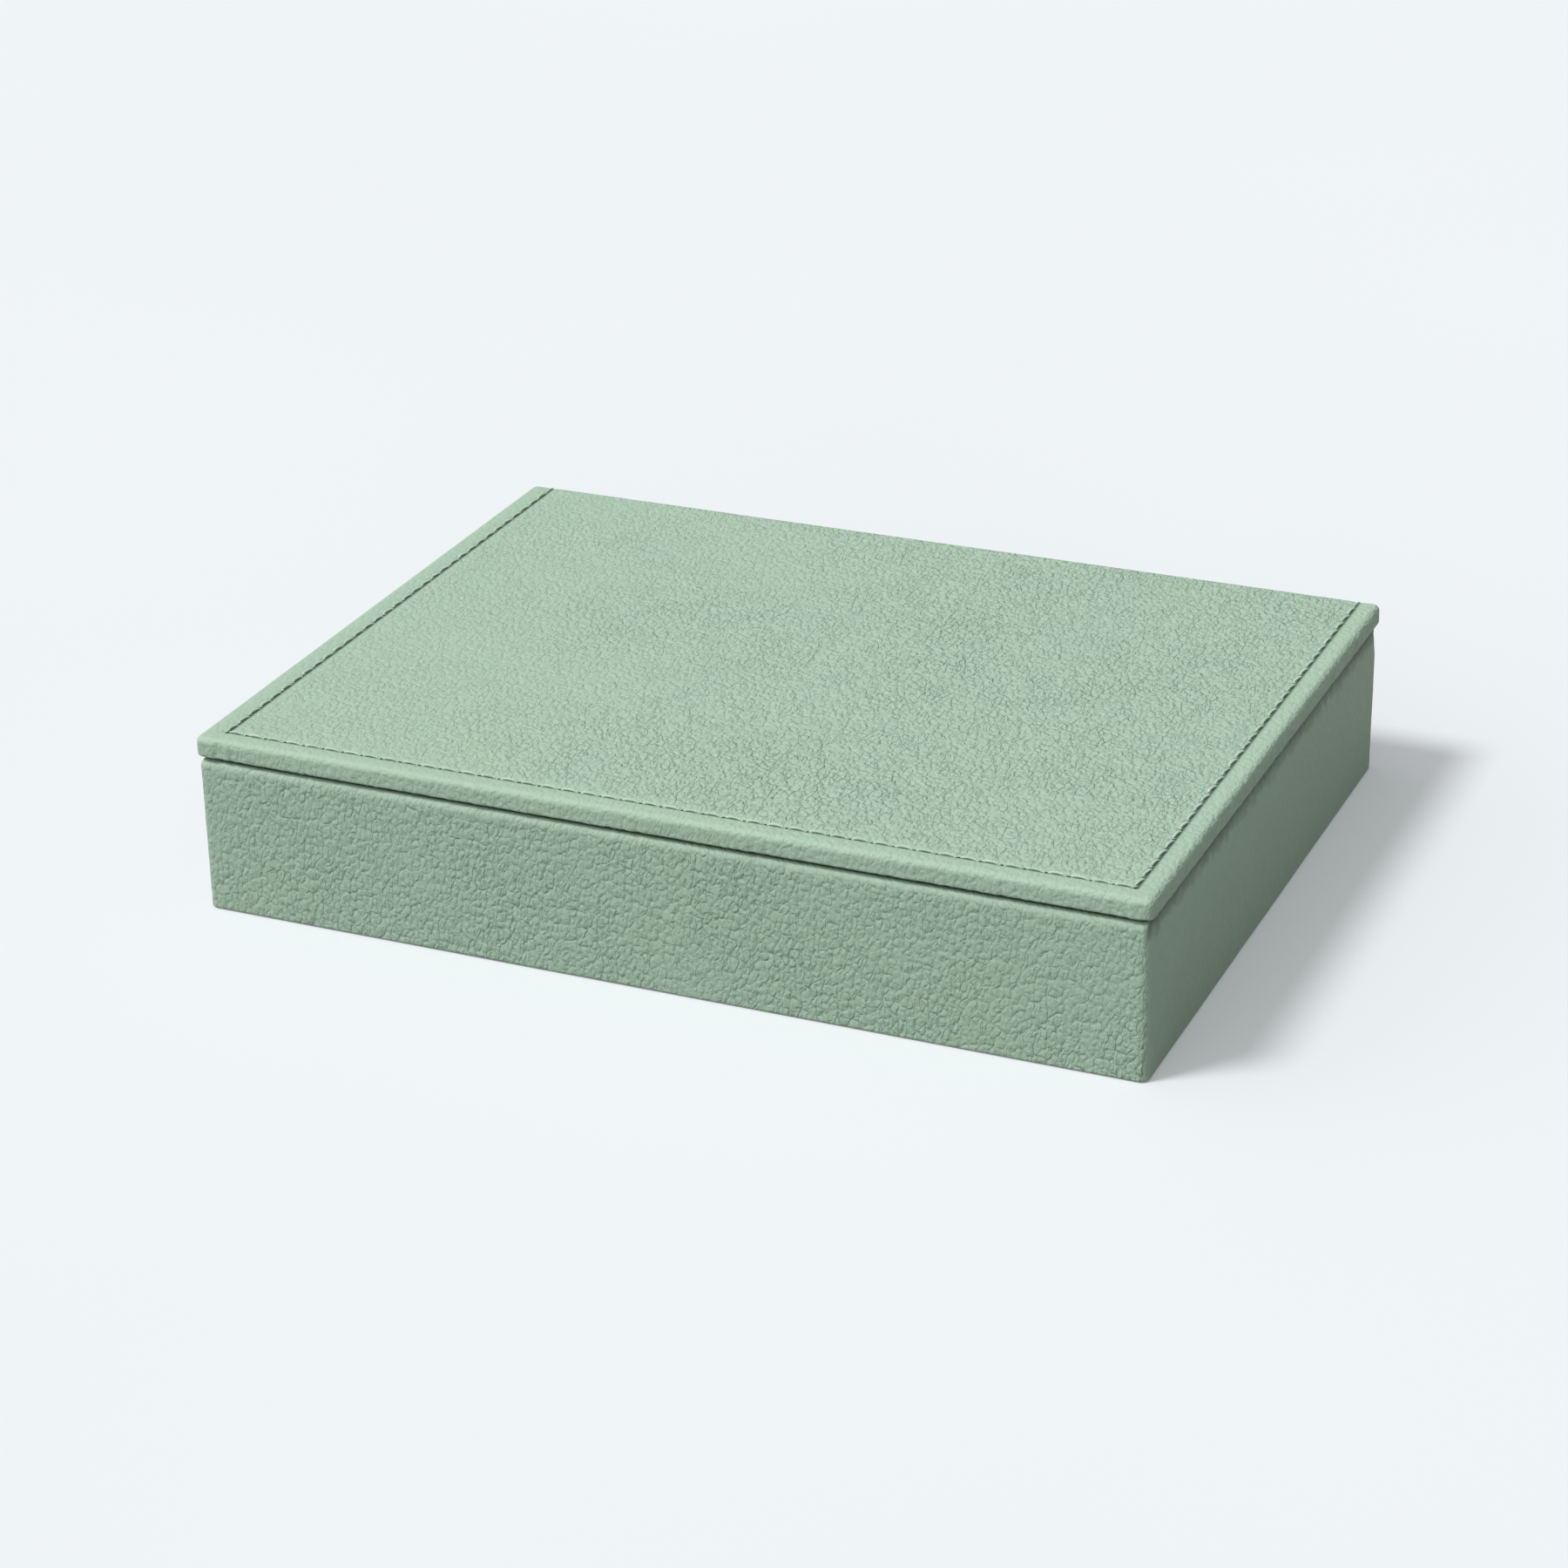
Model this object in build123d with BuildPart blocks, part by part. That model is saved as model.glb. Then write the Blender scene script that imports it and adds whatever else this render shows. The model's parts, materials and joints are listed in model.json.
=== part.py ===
# Lidded valet tray: a shallow leather-covered box with a flat lid on a full-width leather hinge.
# X runs across the front, Y from the front to the hinged back, Z up from the table.
# The origin is on the table, under the middle of the lid. Everything is in millimetres.
import os
from math import degrees

from build123d import *

# overall sizes
lid_width = 240.0
lid_depth = 182.0
box_height = 38.8
lid_side_reveal = 0.4
lid_front_reveal = 0.2

# sheet materials
leather = 1.0
wall_board = 3.0
base_board_thickness = 3.0
lid_board_thickness = 3.0
liner_card = 1.2
lid_lining_card_thickness = 0.8
suede = 0.5
hinge_lining_thickness = 0.5
base_sheet_thickness = 0.8

# roundings of the covered edges
lid_corner_radius = 2.4
lid_edge_round = 2.0
lid_under_round = 1.0
box_corner_radius = 2.2
rim_round = 1.8
rim_inner_round = 0.6
base_round = 0.9
panel_edge_round = 0.4

# widths of leather turned over the edges
rim_turn_in = 10.0
base_turn_under = 12.0
lid_turn_under = 12.0

# lining and fit
lining_drop = 2.5
floor_fit = 0.2
lid_lining_margin = 4.0
lid_seat_clearance = 0.3
hinge_lining_side_fit = 0.2
hinge_lining_leg = 12.0
lining_joint_gap = 0.2
fold_clearance = 0.05
base_sheet_margin = 4.0
base_sheet_corner = 3.0

# leather hinge and back panel
hinge_bulge = 0.4
spine_margin = 1.2

# stitching
stitch_inset = 5.9
front_stitch_count = 44
thread_width = 0.7
stitch_height = 0.3
stitch_gap = 0.9
stitch_round = 0.15
bent_stitch_flat = 3.0
edge_stitch_end = 0.4
back_row_top = 1.2
back_row_bottom = 2.6

# levels of the box
wrap_bottom = base_sheet_thickness
board_bottom = wrap_bottom + leather
board_top = box_height - leather
back_board_top = box_height - hinge_lining_thickness
base_board_top = board_bottom + base_board_thickness
turn_in_bottom = box_height - rim_turn_in
liner_top = box_height - lining_drop

# levels of the lid
lid_gap = lid_seat_clearance + suede + lid_lining_card_thickness
lid_bottom = box_height + lid_gap
lid_thickness = lid_board_thickness + 2 * leather
lid_top = lid_bottom + lid_thickness
lid_board_bottom = lid_bottom + leather

# plan of the box, from the outside in
lid_back = lid_depth / 2
lid_front = -lid_depth / 2
side_x = lid_width / 2 - lid_side_reveal
front_y = lid_front + lid_front_reveal
wrap_back_y = lid_back - leather
board_x = side_x - leather
board_front_y = front_y + leather
board_back_y = wrap_back_y - leather
cavity_x = board_x - wall_board
cavity_front_y = board_front_y + wall_board
cavity_back_y = board_back_y - wall_board
turned_x = cavity_x - leather
turned_front_y = cavity_front_y + leather
liner_back_y = cavity_back_y - hinge_lining_thickness
liner_thickness = liner_card + suede
lined_x = turned_x - liner_thickness
lined_front_y = turned_front_y + liner_thickness
lined_back_y = liner_back_y - liner_thickness
spine_half = side_x - spine_margin

# hinge line, on the outside of the folded leather, halfway up the gap under the lid
hinge_y = lid_back + hinge_bulge
hinge_z = box_height + lid_gap / 2

# stitch rows
row_x = lid_width / 2 - stitch_inset
front_row_y = lid_front + stitch_inset
stitch_pitch = 2 * row_x / front_stitch_count
stitch_length = stitch_pitch - stitch_gap
edge_start_y = lid_back - lid_edge_round
side_row_length = edge_start_y - bent_stitch_flat - front_row_y
side_stitch_count = round(side_row_length / stitch_pitch)
side_pitch = side_row_length / side_stitch_count
side_stitch_length = side_pitch - stitch_gap


def slab(x0, x1, y0, y1, z0, z1):
    """A plain block between two corners."""
    with BuildPart() as block:
        with BuildSketch(Plane.XY.offset(z0)):
            with Locations(((x0 + x1) / 2, (y0 + y1) / 2)):
                Rectangle(x1 - x0, y1 - y0)
        extrude(amount=z1 - z0)
    return block.part


# outline of the wooden box, with the edges that the leather bends over already eased
with BuildPart() as board_form:
    with BuildSketch(Plane.XY.offset(board_bottom)):
        with Locations((0, (board_front_y + board_back_y) / 2)):
            RectangleRounded(
                2 * board_x, board_back_y - board_front_y, box_corner_radius - leather
            )
    extrude(amount=board_top - board_bottom)
    fillet(board_form.faces().sort_by(Axis.Z)[-1].edges(), rim_round - leather)

# side walls run the full depth, and carry the front and back walls between them
with BuildPart() as left_wall_board:
    add(board_form.part)
    add(
        slab(-board_x, -cavity_x, board_front_y, board_back_y, board_bottom, board_top),
        mode=Mode.INTERSECT,
    )

with BuildPart() as right_wall_board:
    add(board_form.part)
    add(
        slab(cavity_x, board_x, board_front_y, board_back_y, board_bottom, board_top),
        mode=Mode.INTERSECT,
    )

with BuildPart() as front_wall_board:
    add(board_form.part)
    add(
        slab(-cavity_x, cavity_x, board_front_y, cavity_front_y, board_bottom, board_top),
        mode=Mode.INTERSECT,
    )

# the back wall is taller by the leather that the hinge lining replaces on its rim
with BuildPart() as back_wall_board:
    add(slab(-cavity_x, cavity_x, cavity_back_y, board_back_y, board_bottom, back_board_top))

# base board, held between the four walls
with BuildPart() as base_board:
    add(slab(-cavity_x, cavity_x, cavity_front_y, cavity_back_y, board_bottom, base_board_top))

# one leather wrap round all four sides, over the rim, down inside it and under the base
with BuildPart() as box_leather:
    with BuildSketch(Plane.XY.offset(wrap_bottom)):
        with Locations((0, (front_y + wrap_back_y) / 2)):
            RectangleRounded(2 * side_x, wrap_back_y - front_y, box_corner_radius)
    extrude(amount=box_height - wrap_bottom)
    fillet(box_leather.faces().sort_by(Axis.Z)[-1].edges(), rim_round)
    fillet(box_leather.faces().sort_by(Axis.Z)[0].edges(), base_round)
    for board in (left_wall_board, right_wall_board, front_wall_board, back_wall_board):
        add(board.part, mode=Mode.SUBTRACT)
    add(
        slab(-cavity_x, cavity_x, cavity_front_y, cavity_back_y, board_bottom, turn_in_bottom),
        mode=Mode.SUBTRACT,
    )
    add(
        slab(-turned_x, turned_x, turned_front_y, cavity_back_y, turn_in_bottom, box_height),
        mode=Mode.SUBTRACT,
    )
    add(
        slab(-cavity_x, cavity_x, cavity_back_y, wrap_back_y, back_board_top, box_height),
        mode=Mode.SUBTRACT,
    )
    add(
        slab(
            -side_x + base_turn_under,
            side_x - base_turn_under,
            front_y + base_turn_under,
            wrap_back_y - base_turn_under,
            wrap_bottom,
            board_bottom,
        ),
        mode=Mode.SUBTRACT,
    )
    rim_edges = box_leather.edges().filter_by(
        lambda e: abs(e.center().Z - box_height) < 1e-4
        and abs(e.center().X) < turned_x + 1e-4
        and e.center().Y > turned_front_y - 1e-4
        and e.length > rim_turn_in
    )
    fillet(rim_edges, rim_inner_round)

# card that levels the underside between the turned leather edges
with BuildPart() as base_filler_card:
    add(
        slab(
            -side_x + base_turn_under,
            side_x - base_turn_under,
            front_y + base_turn_under,
            wrap_back_y - base_turn_under,
            wrap_bottom,
            board_bottom,
        )
    )

# soft sheet that the box stands on
with BuildPart() as base_sheet:
    with BuildSketch():
        with Locations((0, (front_y + wrap_back_y) / 2)):
            RectangleRounded(
                2 * (side_x - base_sheet_margin),
                wrap_back_y - front_y - 2 * base_sheet_margin,
                base_sheet_corner,
            )
    extrude(amount=base_sheet_thickness)

# floor of the tray: a card wrapped in suede
floor_x = lined_x - floor_fit
floor_front_y = lined_front_y + floor_fit
floor_back_y = lined_back_y - floor_fit
floor_card_top = base_board_top + liner_card
floor_top = floor_card_top + suede

with BuildPart() as floor_card:
    add(
        slab(
            -floor_x + suede,
            floor_x - suede,
            floor_front_y + suede,
            floor_back_y - suede,
            base_board_top,
            floor_card_top,
        )
    )

with BuildPart() as floor_suede:
    add(slab(-floor_x, floor_x, floor_front_y, floor_back_y, base_board_top, floor_top))
    fillet(floor_suede.faces().sort_by(Axis.Z)[-1].edges(), suede * 0.8)
    add(floor_card.part, mode=Mode.SUBTRACT)

# wall linings: front and back cards run the full width, side cards fit between them
card_top = liner_top - suede

with BuildPart() as front_liner_card:
    add(
        slab(
            -turned_x,
            turned_x,
            turned_front_y,
            turned_front_y + liner_card,
            base_board_top,
            card_top,
        )
    )

with BuildPart() as front_liner_suede:
    add(
        slab(-turned_x, turned_x, turned_front_y, lined_front_y, base_board_top, liner_top)
    )
    fillet(
        front_liner_suede.edges().group_by(Axis.Z)[-1].sort_by(Axis.Y)[-1],
        suede * 0.8,
    )
    add(front_liner_card.part, mode=Mode.SUBTRACT)

with BuildPart() as back_liner_card:
    add(
        slab(
            -turned_x,
            turned_x,
            liner_back_y - liner_card,
            liner_back_y,
            base_board_top,
            card_top,
        )
    )

with BuildPart() as back_liner_suede:
    add(slab(-turned_x, turned_x, lined_back_y, liner_back_y, base_board_top, liner_top))
    fillet(
        back_liner_suede.edges().group_by(Axis.Z)[-1].sort_by(Axis.Y)[0],
        suede * 0.8,
    )
    add(back_liner_card.part, mode=Mode.SUBTRACT)

with BuildPart() as right_liner_card:
    add(
        slab(
            turned_x - liner_card,
            turned_x,
            lined_front_y,
            lined_back_y,
            base_board_top,
            card_top,
        )
    )

with BuildPart() as right_liner_suede:
    add(slab(lined_x, turned_x, lined_front_y, lined_back_y, base_board_top, liner_top))
    fillet(
        right_liner_suede.edges().group_by(Axis.Z)[-1].sort_by(Axis.X)[0],
        suede * 0.8,
    )
    add(right_liner_card.part, mode=Mode.SUBTRACT)

with BuildPart() as left_liner_card:
    mirror(right_liner_card.part, about=Plane.YZ)

with BuildPart() as left_liner_suede:
    mirror(right_liner_suede.part, about=Plane.YZ)

# back panel: the lid's leather, carried down the back of the box
with BuildPart() as back_leather:
    add(slab(-spine_half, spine_half, wrap_back_y, lid_back, wrap_bottom, box_height))
    fillet(
        back_leather.edges()
        .filter_by(lambda e: abs(e.center().Y - lid_back) < 1e-4)
        .filter_by(lambda e: e.center().Z < box_height - 1e-4),
        panel_edge_round,
    )

# the same leather where it crosses the gap, bowed out a little at the fold
with BuildPart() as hinge_leather:
    with BuildSketch(Plane.YZ.offset(-spine_half)):
        with BuildLine():
            ThreePointArc(
                (lid_back, box_height), (lid_back + hinge_bulge, hinge_z), (lid_back, lid_bottom)
            )
            Line((lid_back, lid_bottom), (wrap_back_y, lid_bottom))
            ThreePointArc(
                (wrap_back_y, lid_bottom),
                (wrap_back_y + hinge_bulge, hinge_z),
                (wrap_back_y, box_height),
            )
            Line((wrap_back_y, box_height), (lid_back, box_height))
        make_face()
    extrude(amount=2 * spine_half)

# hinge lining: down inside the back wall, over its rim, folded back under the lid
fold_outer = (lid_bottom - back_board_top) / 2
fold_inner = fold_outer - hinge_lining_thickness
fold_z = back_board_top + fold_outer
fold_y = wrap_back_y - fold_clearance - fold_outer
hinge_lining_half = turned_x - hinge_lining_side_fit

with BuildPart() as hinge_lining:
    with BuildSketch(Plane.YZ.offset(-hinge_lining_half)):
        with BuildLine():
            Polyline(
                (fold_y, back_board_top),
                (cavity_back_y, back_board_top),
                (cavity_back_y, box_height - hinge_lining_leg),
                (liner_back_y, box_height - hinge_lining_leg),
                (liner_back_y, box_height),
                (fold_y, box_height),
            )
            ThreePointArc(
                (fold_y, fold_z - fold_inner),
                (fold_y + fold_inner, fold_z),
                (fold_y, fold_z + fold_inner),
            )
            Polyline(
                (fold_y, lid_bottom - hinge_lining_thickness),
                (liner_back_y, lid_bottom - hinge_lining_thickness),
                (liner_back_y, lid_bottom),
                (fold_y, lid_bottom),
            )
            ThreePointArc(
                (fold_y, lid_bottom),
                (fold_y + fold_outer, fold_z),
                (fold_y, back_board_top),
            )
        make_face()
    extrude(amount=2 * hinge_lining_half)

# lid board, with its top edges eased for the leather
with BuildPart() as lid_board:
    with BuildSketch(Plane.XY.offset(lid_board_bottom)):
        RectangleRounded(
            lid_width - 2 * leather, lid_depth - 2 * leather, lid_corner_radius - leather
        )
    extrude(amount=lid_board_thickness)
    fillet(lid_board.faces().sort_by(Axis.Z)[-1].edges(), lid_edge_round - leather)

# card that levels the lid's underside between the turned edges
with BuildPart() as lid_filler_card:
    add(
        slab(
            -lid_width / 2 + lid_turn_under,
            lid_width / 2 - lid_turn_under,
            lid_front + lid_turn_under,
            wrap_back_y,
            lid_bottom,
            lid_board_bottom,
        )
    )

# lid leather: over the top and round the edges, turned under at the front and sides;
# at the back it keeps its full thickness down to the hinge
with BuildPart() as lid_leather:
    with BuildSketch(Plane.XY.offset(lid_bottom)):
        RectangleRounded(lid_width, lid_depth, lid_corner_radius)
    extrude(amount=lid_thickness)
    fillet(lid_leather.faces().sort_by(Axis.Z)[-1].edges(), lid_edge_round)
    fillet(lid_leather.faces().sort_by(Axis.Z)[0].edges(), lid_under_round)
    add(slab(-spine_half, spine_half, wrap_back_y, lid_back, lid_bottom, lid_board_bottom))
    add(lid_board.part, mode=Mode.SUBTRACT)
    add(lid_filler_card.part, mode=Mode.SUBTRACT)

# lining panel glued under the lid, which rests on the rim
panel_x = lid_width / 2 - lid_lining_margin
panel_front_y = lid_front + lid_lining_margin
panel_back_y = liner_back_y - lining_joint_gap
panel_bottom = box_height + lid_seat_clearance

with BuildPart() as lid_lining_card:
    add(
        slab(
            -panel_x + suede,
            panel_x - suede,
            panel_front_y + suede,
            panel_back_y - suede,
            panel_bottom + suede,
            lid_bottom,
        )
    )

with BuildPart() as lid_lining_suede:
    add(slab(-panel_x, panel_x, panel_front_y, panel_back_y, panel_bottom, lid_bottom))
    fillet(lid_lining_suede.faces().sort_by(Axis.Z)[0].edges(), suede * 0.8)
    add(lid_lining_card.part, mode=Mode.SUBTRACT)

# lid stitching: one row along the front and one down each side, over the back edge
front_centres = [-row_x + (i + 0.5) * stitch_pitch for i in range(front_stitch_count)]
side_centres = [front_row_y + (i + 0.5) * side_pitch for i in range(side_stitch_count)]

# the stitch that bends over the back edge starts on the flat and ends part way round
bent_start_y = edge_start_y - bent_stitch_flat + stitch_gap / 2
bent_angle = degrees((stitch_length - (edge_start_y - bent_start_y)) / lid_edge_round)
next_angle = bent_angle + degrees(stitch_gap / lid_edge_round)
edge_centre_z = lid_top - lid_edge_round
edge_centre = (edge_start_y, edge_centre_z)
outer_round = lid_edge_round + stitch_height
last_z = lid_bottom + edge_stitch_end

with BuildPart() as lid_stitching:
    with BuildSketch(Plane.XY.offset(lid_top)):
        with Locations(*[(x, front_row_y) for x in front_centres]):
            SlotOverall(stitch_length, thread_width)
        with Locations(*[(s * row_x, y) for s in (-1, 1) for y in side_centres]):
            SlotOverall(side_stitch_length, thread_width, rotation=90)
    extrude(amount=stitch_height)
    fillet(lid_stitching.faces().group_by(Axis.Z)[-1].edges(), stitch_round)
    for side in (-1, 1):
        with BuildSketch(Plane.YZ.offset(side * row_x - thread_width / 2)):
            with BuildLine():
                inner = CenterArc(edge_centre, lid_edge_round, 90 - bent_angle, bent_angle)
                outer = CenterArc(edge_centre, outer_round, 90 - bent_angle, bent_angle)
                Polyline(
                    inner @ 1,
                    (bent_start_y, lid_top),
                    (bent_start_y, lid_top + stitch_height),
                    outer @ 1,
                )
                Line(inner @ 0, outer @ 0)
            make_face()
            with BuildLine():
                inner = CenterArc(edge_centre, lid_edge_round, 0, 90 - next_angle)
                outer = CenterArc(edge_centre, outer_round, 0, 90 - next_angle)
                Polyline(
                    inner @ 0,
                    (lid_back, last_z),
                    (lid_back + stitch_height, last_z),
                    outer @ 0,
                )
                Line(inner @ 1, outer @ 1)
            make_face()
        extrude(amount=thread_width)

# the side rows carried on down the back panel
back_row_length = box_height - back_row_top - (wrap_bottom + back_row_bottom)
back_stitch_count = int(back_row_length / stitch_pitch)
back_centres = [
    box_height - back_row_top - (i + 0.5) * stitch_pitch for i in range(back_stitch_count)
]

with BuildPart() as back_stitching:
    with BuildSketch(Plane.XZ.offset(-lid_back)):
        with Locations(*[(s * row_x, z) for s in (-1, 1) for z in back_centres]):
            SlotOverall(stitch_length, thread_width, rotation=90)
    extrude(amount=-stitch_height)
    fillet(back_stitching.faces().group_by(Axis.Y)[-1].edges(), stitch_round)

pieces = {
    "base_board": base_board,
    "front_wall_board": front_wall_board,
    "back_wall_board": back_wall_board,
    "left_wall_board": left_wall_board,
    "right_wall_board": right_wall_board,
    "box_leather": box_leather,
    "base_filler_card": base_filler_card,
    "base_sheet": base_sheet,
    "back_leather": back_leather,
    "back_stitching": back_stitching,
    "floor_card": floor_card,
    "floor_suede": floor_suede,
    "front_liner_card": front_liner_card,
    "front_liner_suede": front_liner_suede,
    "back_liner_card": back_liner_card,
    "back_liner_suede": back_liner_suede,
    "left_liner_card": left_liner_card,
    "left_liner_suede": left_liner_suede,
    "right_liner_card": right_liner_card,
    "right_liner_suede": right_liner_suede,
    "hinge_leather": hinge_leather,
    "hinge_lining": hinge_lining,
    "lid_board": lid_board,
    "lid_filler_card": lid_filler_card,
    "lid_leather": lid_leather,
    "lid_lining_card": lid_lining_card,
    "lid_lining_suede": lid_lining_suede,
    "lid_stitching": lid_stitching,
}

os.makedirs("parts", exist_ok=True)
for name, piece in pieces.items():
    piece.part.label = name
    export_step(piece.part, f"parts/{name}.step")

print("lid", lid_width, "x", lid_depth, "mm, top at", round(lid_top, 2), "mm")
print("hinge line at y", round(hinge_y, 2), "z", round(hinge_z, 2), "mm")
print("tray inside", round(2 * lined_x, 2), "x", round(lined_back_y - lined_front_y, 2), "mm")
print("stitch pitch", round(stitch_pitch, 3), "mm,", side_stitch_count, "down each side")
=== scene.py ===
import json
import math

import bmesh
import bpy
import numpy as np
from mathutils import Matrix, Vector, noise


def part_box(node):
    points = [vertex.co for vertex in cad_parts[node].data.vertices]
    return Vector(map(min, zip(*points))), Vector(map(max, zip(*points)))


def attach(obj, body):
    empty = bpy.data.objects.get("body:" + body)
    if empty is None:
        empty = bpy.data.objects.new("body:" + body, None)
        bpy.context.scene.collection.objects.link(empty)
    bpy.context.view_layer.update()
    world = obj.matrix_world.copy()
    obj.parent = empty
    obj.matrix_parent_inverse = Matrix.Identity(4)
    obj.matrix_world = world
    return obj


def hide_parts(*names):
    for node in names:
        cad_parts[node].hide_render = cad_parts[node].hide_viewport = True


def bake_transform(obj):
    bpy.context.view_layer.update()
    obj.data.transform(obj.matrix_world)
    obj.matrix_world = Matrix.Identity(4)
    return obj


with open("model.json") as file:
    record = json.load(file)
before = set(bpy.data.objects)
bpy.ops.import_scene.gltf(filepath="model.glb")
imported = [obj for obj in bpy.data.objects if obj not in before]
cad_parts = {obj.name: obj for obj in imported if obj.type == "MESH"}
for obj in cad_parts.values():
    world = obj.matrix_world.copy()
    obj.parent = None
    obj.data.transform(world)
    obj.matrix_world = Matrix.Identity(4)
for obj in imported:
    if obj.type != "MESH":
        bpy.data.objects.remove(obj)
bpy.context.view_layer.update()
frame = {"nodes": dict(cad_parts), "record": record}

MM = 0.001

# what the frame says about the tray, in millimetres
lid_lo, lid_hi = (np.array(c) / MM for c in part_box("lid_leather"))
wrap_lo, wrap_hi = (np.array(c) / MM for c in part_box("box_leather"))
spine_lo, spine_hi = (np.array(c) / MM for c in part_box("back_leather"))
fold_lo, fold_hi = (np.array(c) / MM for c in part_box("hinge_leather"))
lining_lo, lining_hi = (np.array(c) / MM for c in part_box("hinge_lining"))
hinge_y, hinge_z = (v / MM for v in frame["record"]["behaviour"]["joints"][0]["pos_m"][1:])

# thicknesses and roundings, in millimetres
LEATHER = 1.0
LINING = 0.5
LID_CORNER = 2.0
LID_EDGE = 1.5
LID_UNDER = 0.6
BOX_CORNER = 2.2
RIM_INNER = 0.6
WALL_STACK = 5.0
BACK_WALL_STACK = 4.0
RIM_TURN_IN = 10.0
TURN_UNDER = 12.0

# the stitch rows
STITCH_INSET = 5.9
FRONT_STITCHES = 44
SIDE_STITCHES = 33
BENT_FLAT = 3.0
STITCH_GAP = 0.9
row_x = lid_hi[0] - STITCH_INSET
front_row_y = lid_lo[1] + STITCH_INSET
front_pitch = 2 * row_x / FRONT_STITCHES
edge_start_y = lid_hi[1] - LID_EDGE
side_pitch = (edge_start_y - BENT_FLAT - front_row_y) / SIDE_STITCHES


def srgb(r, g, b):
    """A display colour from 0 to 255 as the linear colour that sockets take."""

    def lin(c):
        c /= 255
        return c / 12.92 if c <= 0.04045 else ((c + 0.055) / 1.055) ** 2.4

    return lin(r), lin(g), lin(b), 1.0


LEATHER_TONE = srgb(171, 197, 175)
LEATHER_COOLER = srgb(158, 190, 173)
LEATHER_WARMER = srgb(172, 196, 166)
# painted shade for the valleys and creases of the grain
LEATHER_VALLEY_SHADE = srgb(104, 134, 113)
# painted shade beside the stitch rows and on the right wall under the lid
LEATHER_PAINTED_SHADE = srgb(44, 62, 50)
# a paler tone for the lid's edges, the rim, the lower edges and the hinge fold
LEATHER_LIGHTER = srgb(188, 210, 191)
BACKDROP = srgb(238, 242, 245)


# node helpers


def new_material(name):
    mat = bpy.data.materials.new(name)
    mat.use_nodes = True
    nt = mat.node_tree
    nt.nodes.clear()
    out = nt.nodes.new("ShaderNodeOutputMaterial")
    shader = nt.nodes.new("ShaderNodeBsdfPrincipled")
    nt.links.new(shader.outputs[0], out.inputs["Surface"])
    return mat, nt, shader


def put(nt, socket, value):
    """Links a socket, or sets its constant."""
    if isinstance(value, bpy.types.NodeSocket):
        nt.links.new(value, socket)
    else:
        socket.default_value = value


def math_node(nt, operation, a, b=0.0, c=0.0):
    node = nt.nodes.new("ShaderNodeMath")
    node.operation = operation
    for socket, value in zip(node.inputs, (a, b, c)):
        put(nt, socket, value)
    return node.outputs[0]


def vector_node(nt, operation, a, b):
    node = nt.nodes.new("ShaderNodeVectorMath")
    node.operation = operation
    put(nt, node.inputs[0], a)
    if operation == "SCALE":
        put(nt, node.inputs["Scale"], b)
    else:
        put(nt, node.inputs[1], b)
    return node.outputs[0]


def mapping(nt, vector, scale, rotation=(0, 0, 0)):
    node = nt.nodes.new("ShaderNodeMapping")
    put(nt, node.inputs["Vector"], vector)
    node.inputs["Scale"].default_value = scale
    node.inputs["Rotation"].default_value = rotation
    return node.outputs[0]


def object_coords(nt):
    return nt.nodes.new("ShaderNodeTexCoord").outputs["Object"]


def noise_node(nt, vector, scale, detail=2.0, roughness=0.5, colour=False, flat=False):
    node = nt.nodes.new("ShaderNodeTexNoise")
    node.noise_dimensions = "2D" if flat else "3D"
    put(nt, node.inputs["Vector"], vector)
    node.inputs["Scale"].default_value = scale
    node.inputs["Detail"].default_value = detail
    node.inputs["Roughness"].default_value = roughness
    return node.outputs["Color" if colour else "Fac"]


def cell_distance(nt, vector, feature="DISTANCE_TO_EDGE"):
    """Distance to the nearest border between cells, or with F1 to the cell's middle, in cells."""
    node = nt.nodes.new("ShaderNodeTexVoronoi")
    node.voronoi_dimensions = "2D"
    node.feature = feature
    put(nt, node.inputs["Vector"], vector)
    node.inputs["Scale"].default_value = 1.0
    return node.outputs["Distance"]


def unrolled(nt):
    """Flat coordinates that run on over an edge, as the leather does, from flat_x and flat_y."""
    both = nt.nodes.new("ShaderNodeCombineXYZ")
    nt.links.new(attribute(nt, "flat_x"), both.inputs[0])
    nt.links.new(attribute(nt, "flat_y"), both.inputs[1])
    return both.outputs[0]


def map_range(nt, value, from_min, from_max, to_min=0.0, to_max=1.0, smooth=True):
    node = nt.nodes.new("ShaderNodeMapRange")
    node.interpolation_type = "SMOOTHSTEP" if smooth else "LINEAR"
    for name, v in zip(
        ("Value", "From Min", "From Max", "To Min", "To Max"),
        (value, from_min, from_max, to_min, to_max),
    ):
        put(nt, node.inputs[name], v)
    return node.outputs["Result"]


def mix_colour(nt, fac, a, b):
    node = nt.nodes.new("ShaderNodeMix")
    node.data_type = "RGBA"
    put(nt, node.inputs["Factor"], fac)
    put(nt, node.inputs["A"], a)
    put(nt, node.inputs["B"], b)
    return node.outputs["Result"]


def bump(nt, height, distance, strength):
    node = nt.nodes.new("ShaderNodeBump")
    put(nt, node.inputs["Height"], height)
    put(nt, node.inputs["Strength"], strength)
    node.inputs["Distance"].default_value = distance
    return node.outputs["Normal"]


def attribute(nt, name):
    node = nt.nodes.new("ShaderNodeAttribute")
    node.attribute_name = name
    return node.outputs["Fac"]


# materials


def warped(nt, coords, scale, amount, flat=False):
    """Coordinates pushed about by a soft noise, so that no cell or crease runs straight."""
    drift = noise_node(nt, coords, scale, 1.0, colour=True, flat=flat)
    centred = vector_node(nt, "SUBTRACT", drift, (0.5, 0.5, 0.5))
    return vector_node(nt, "ADD", coords, vector_node(nt, "SCALE", centred, amount))


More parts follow.
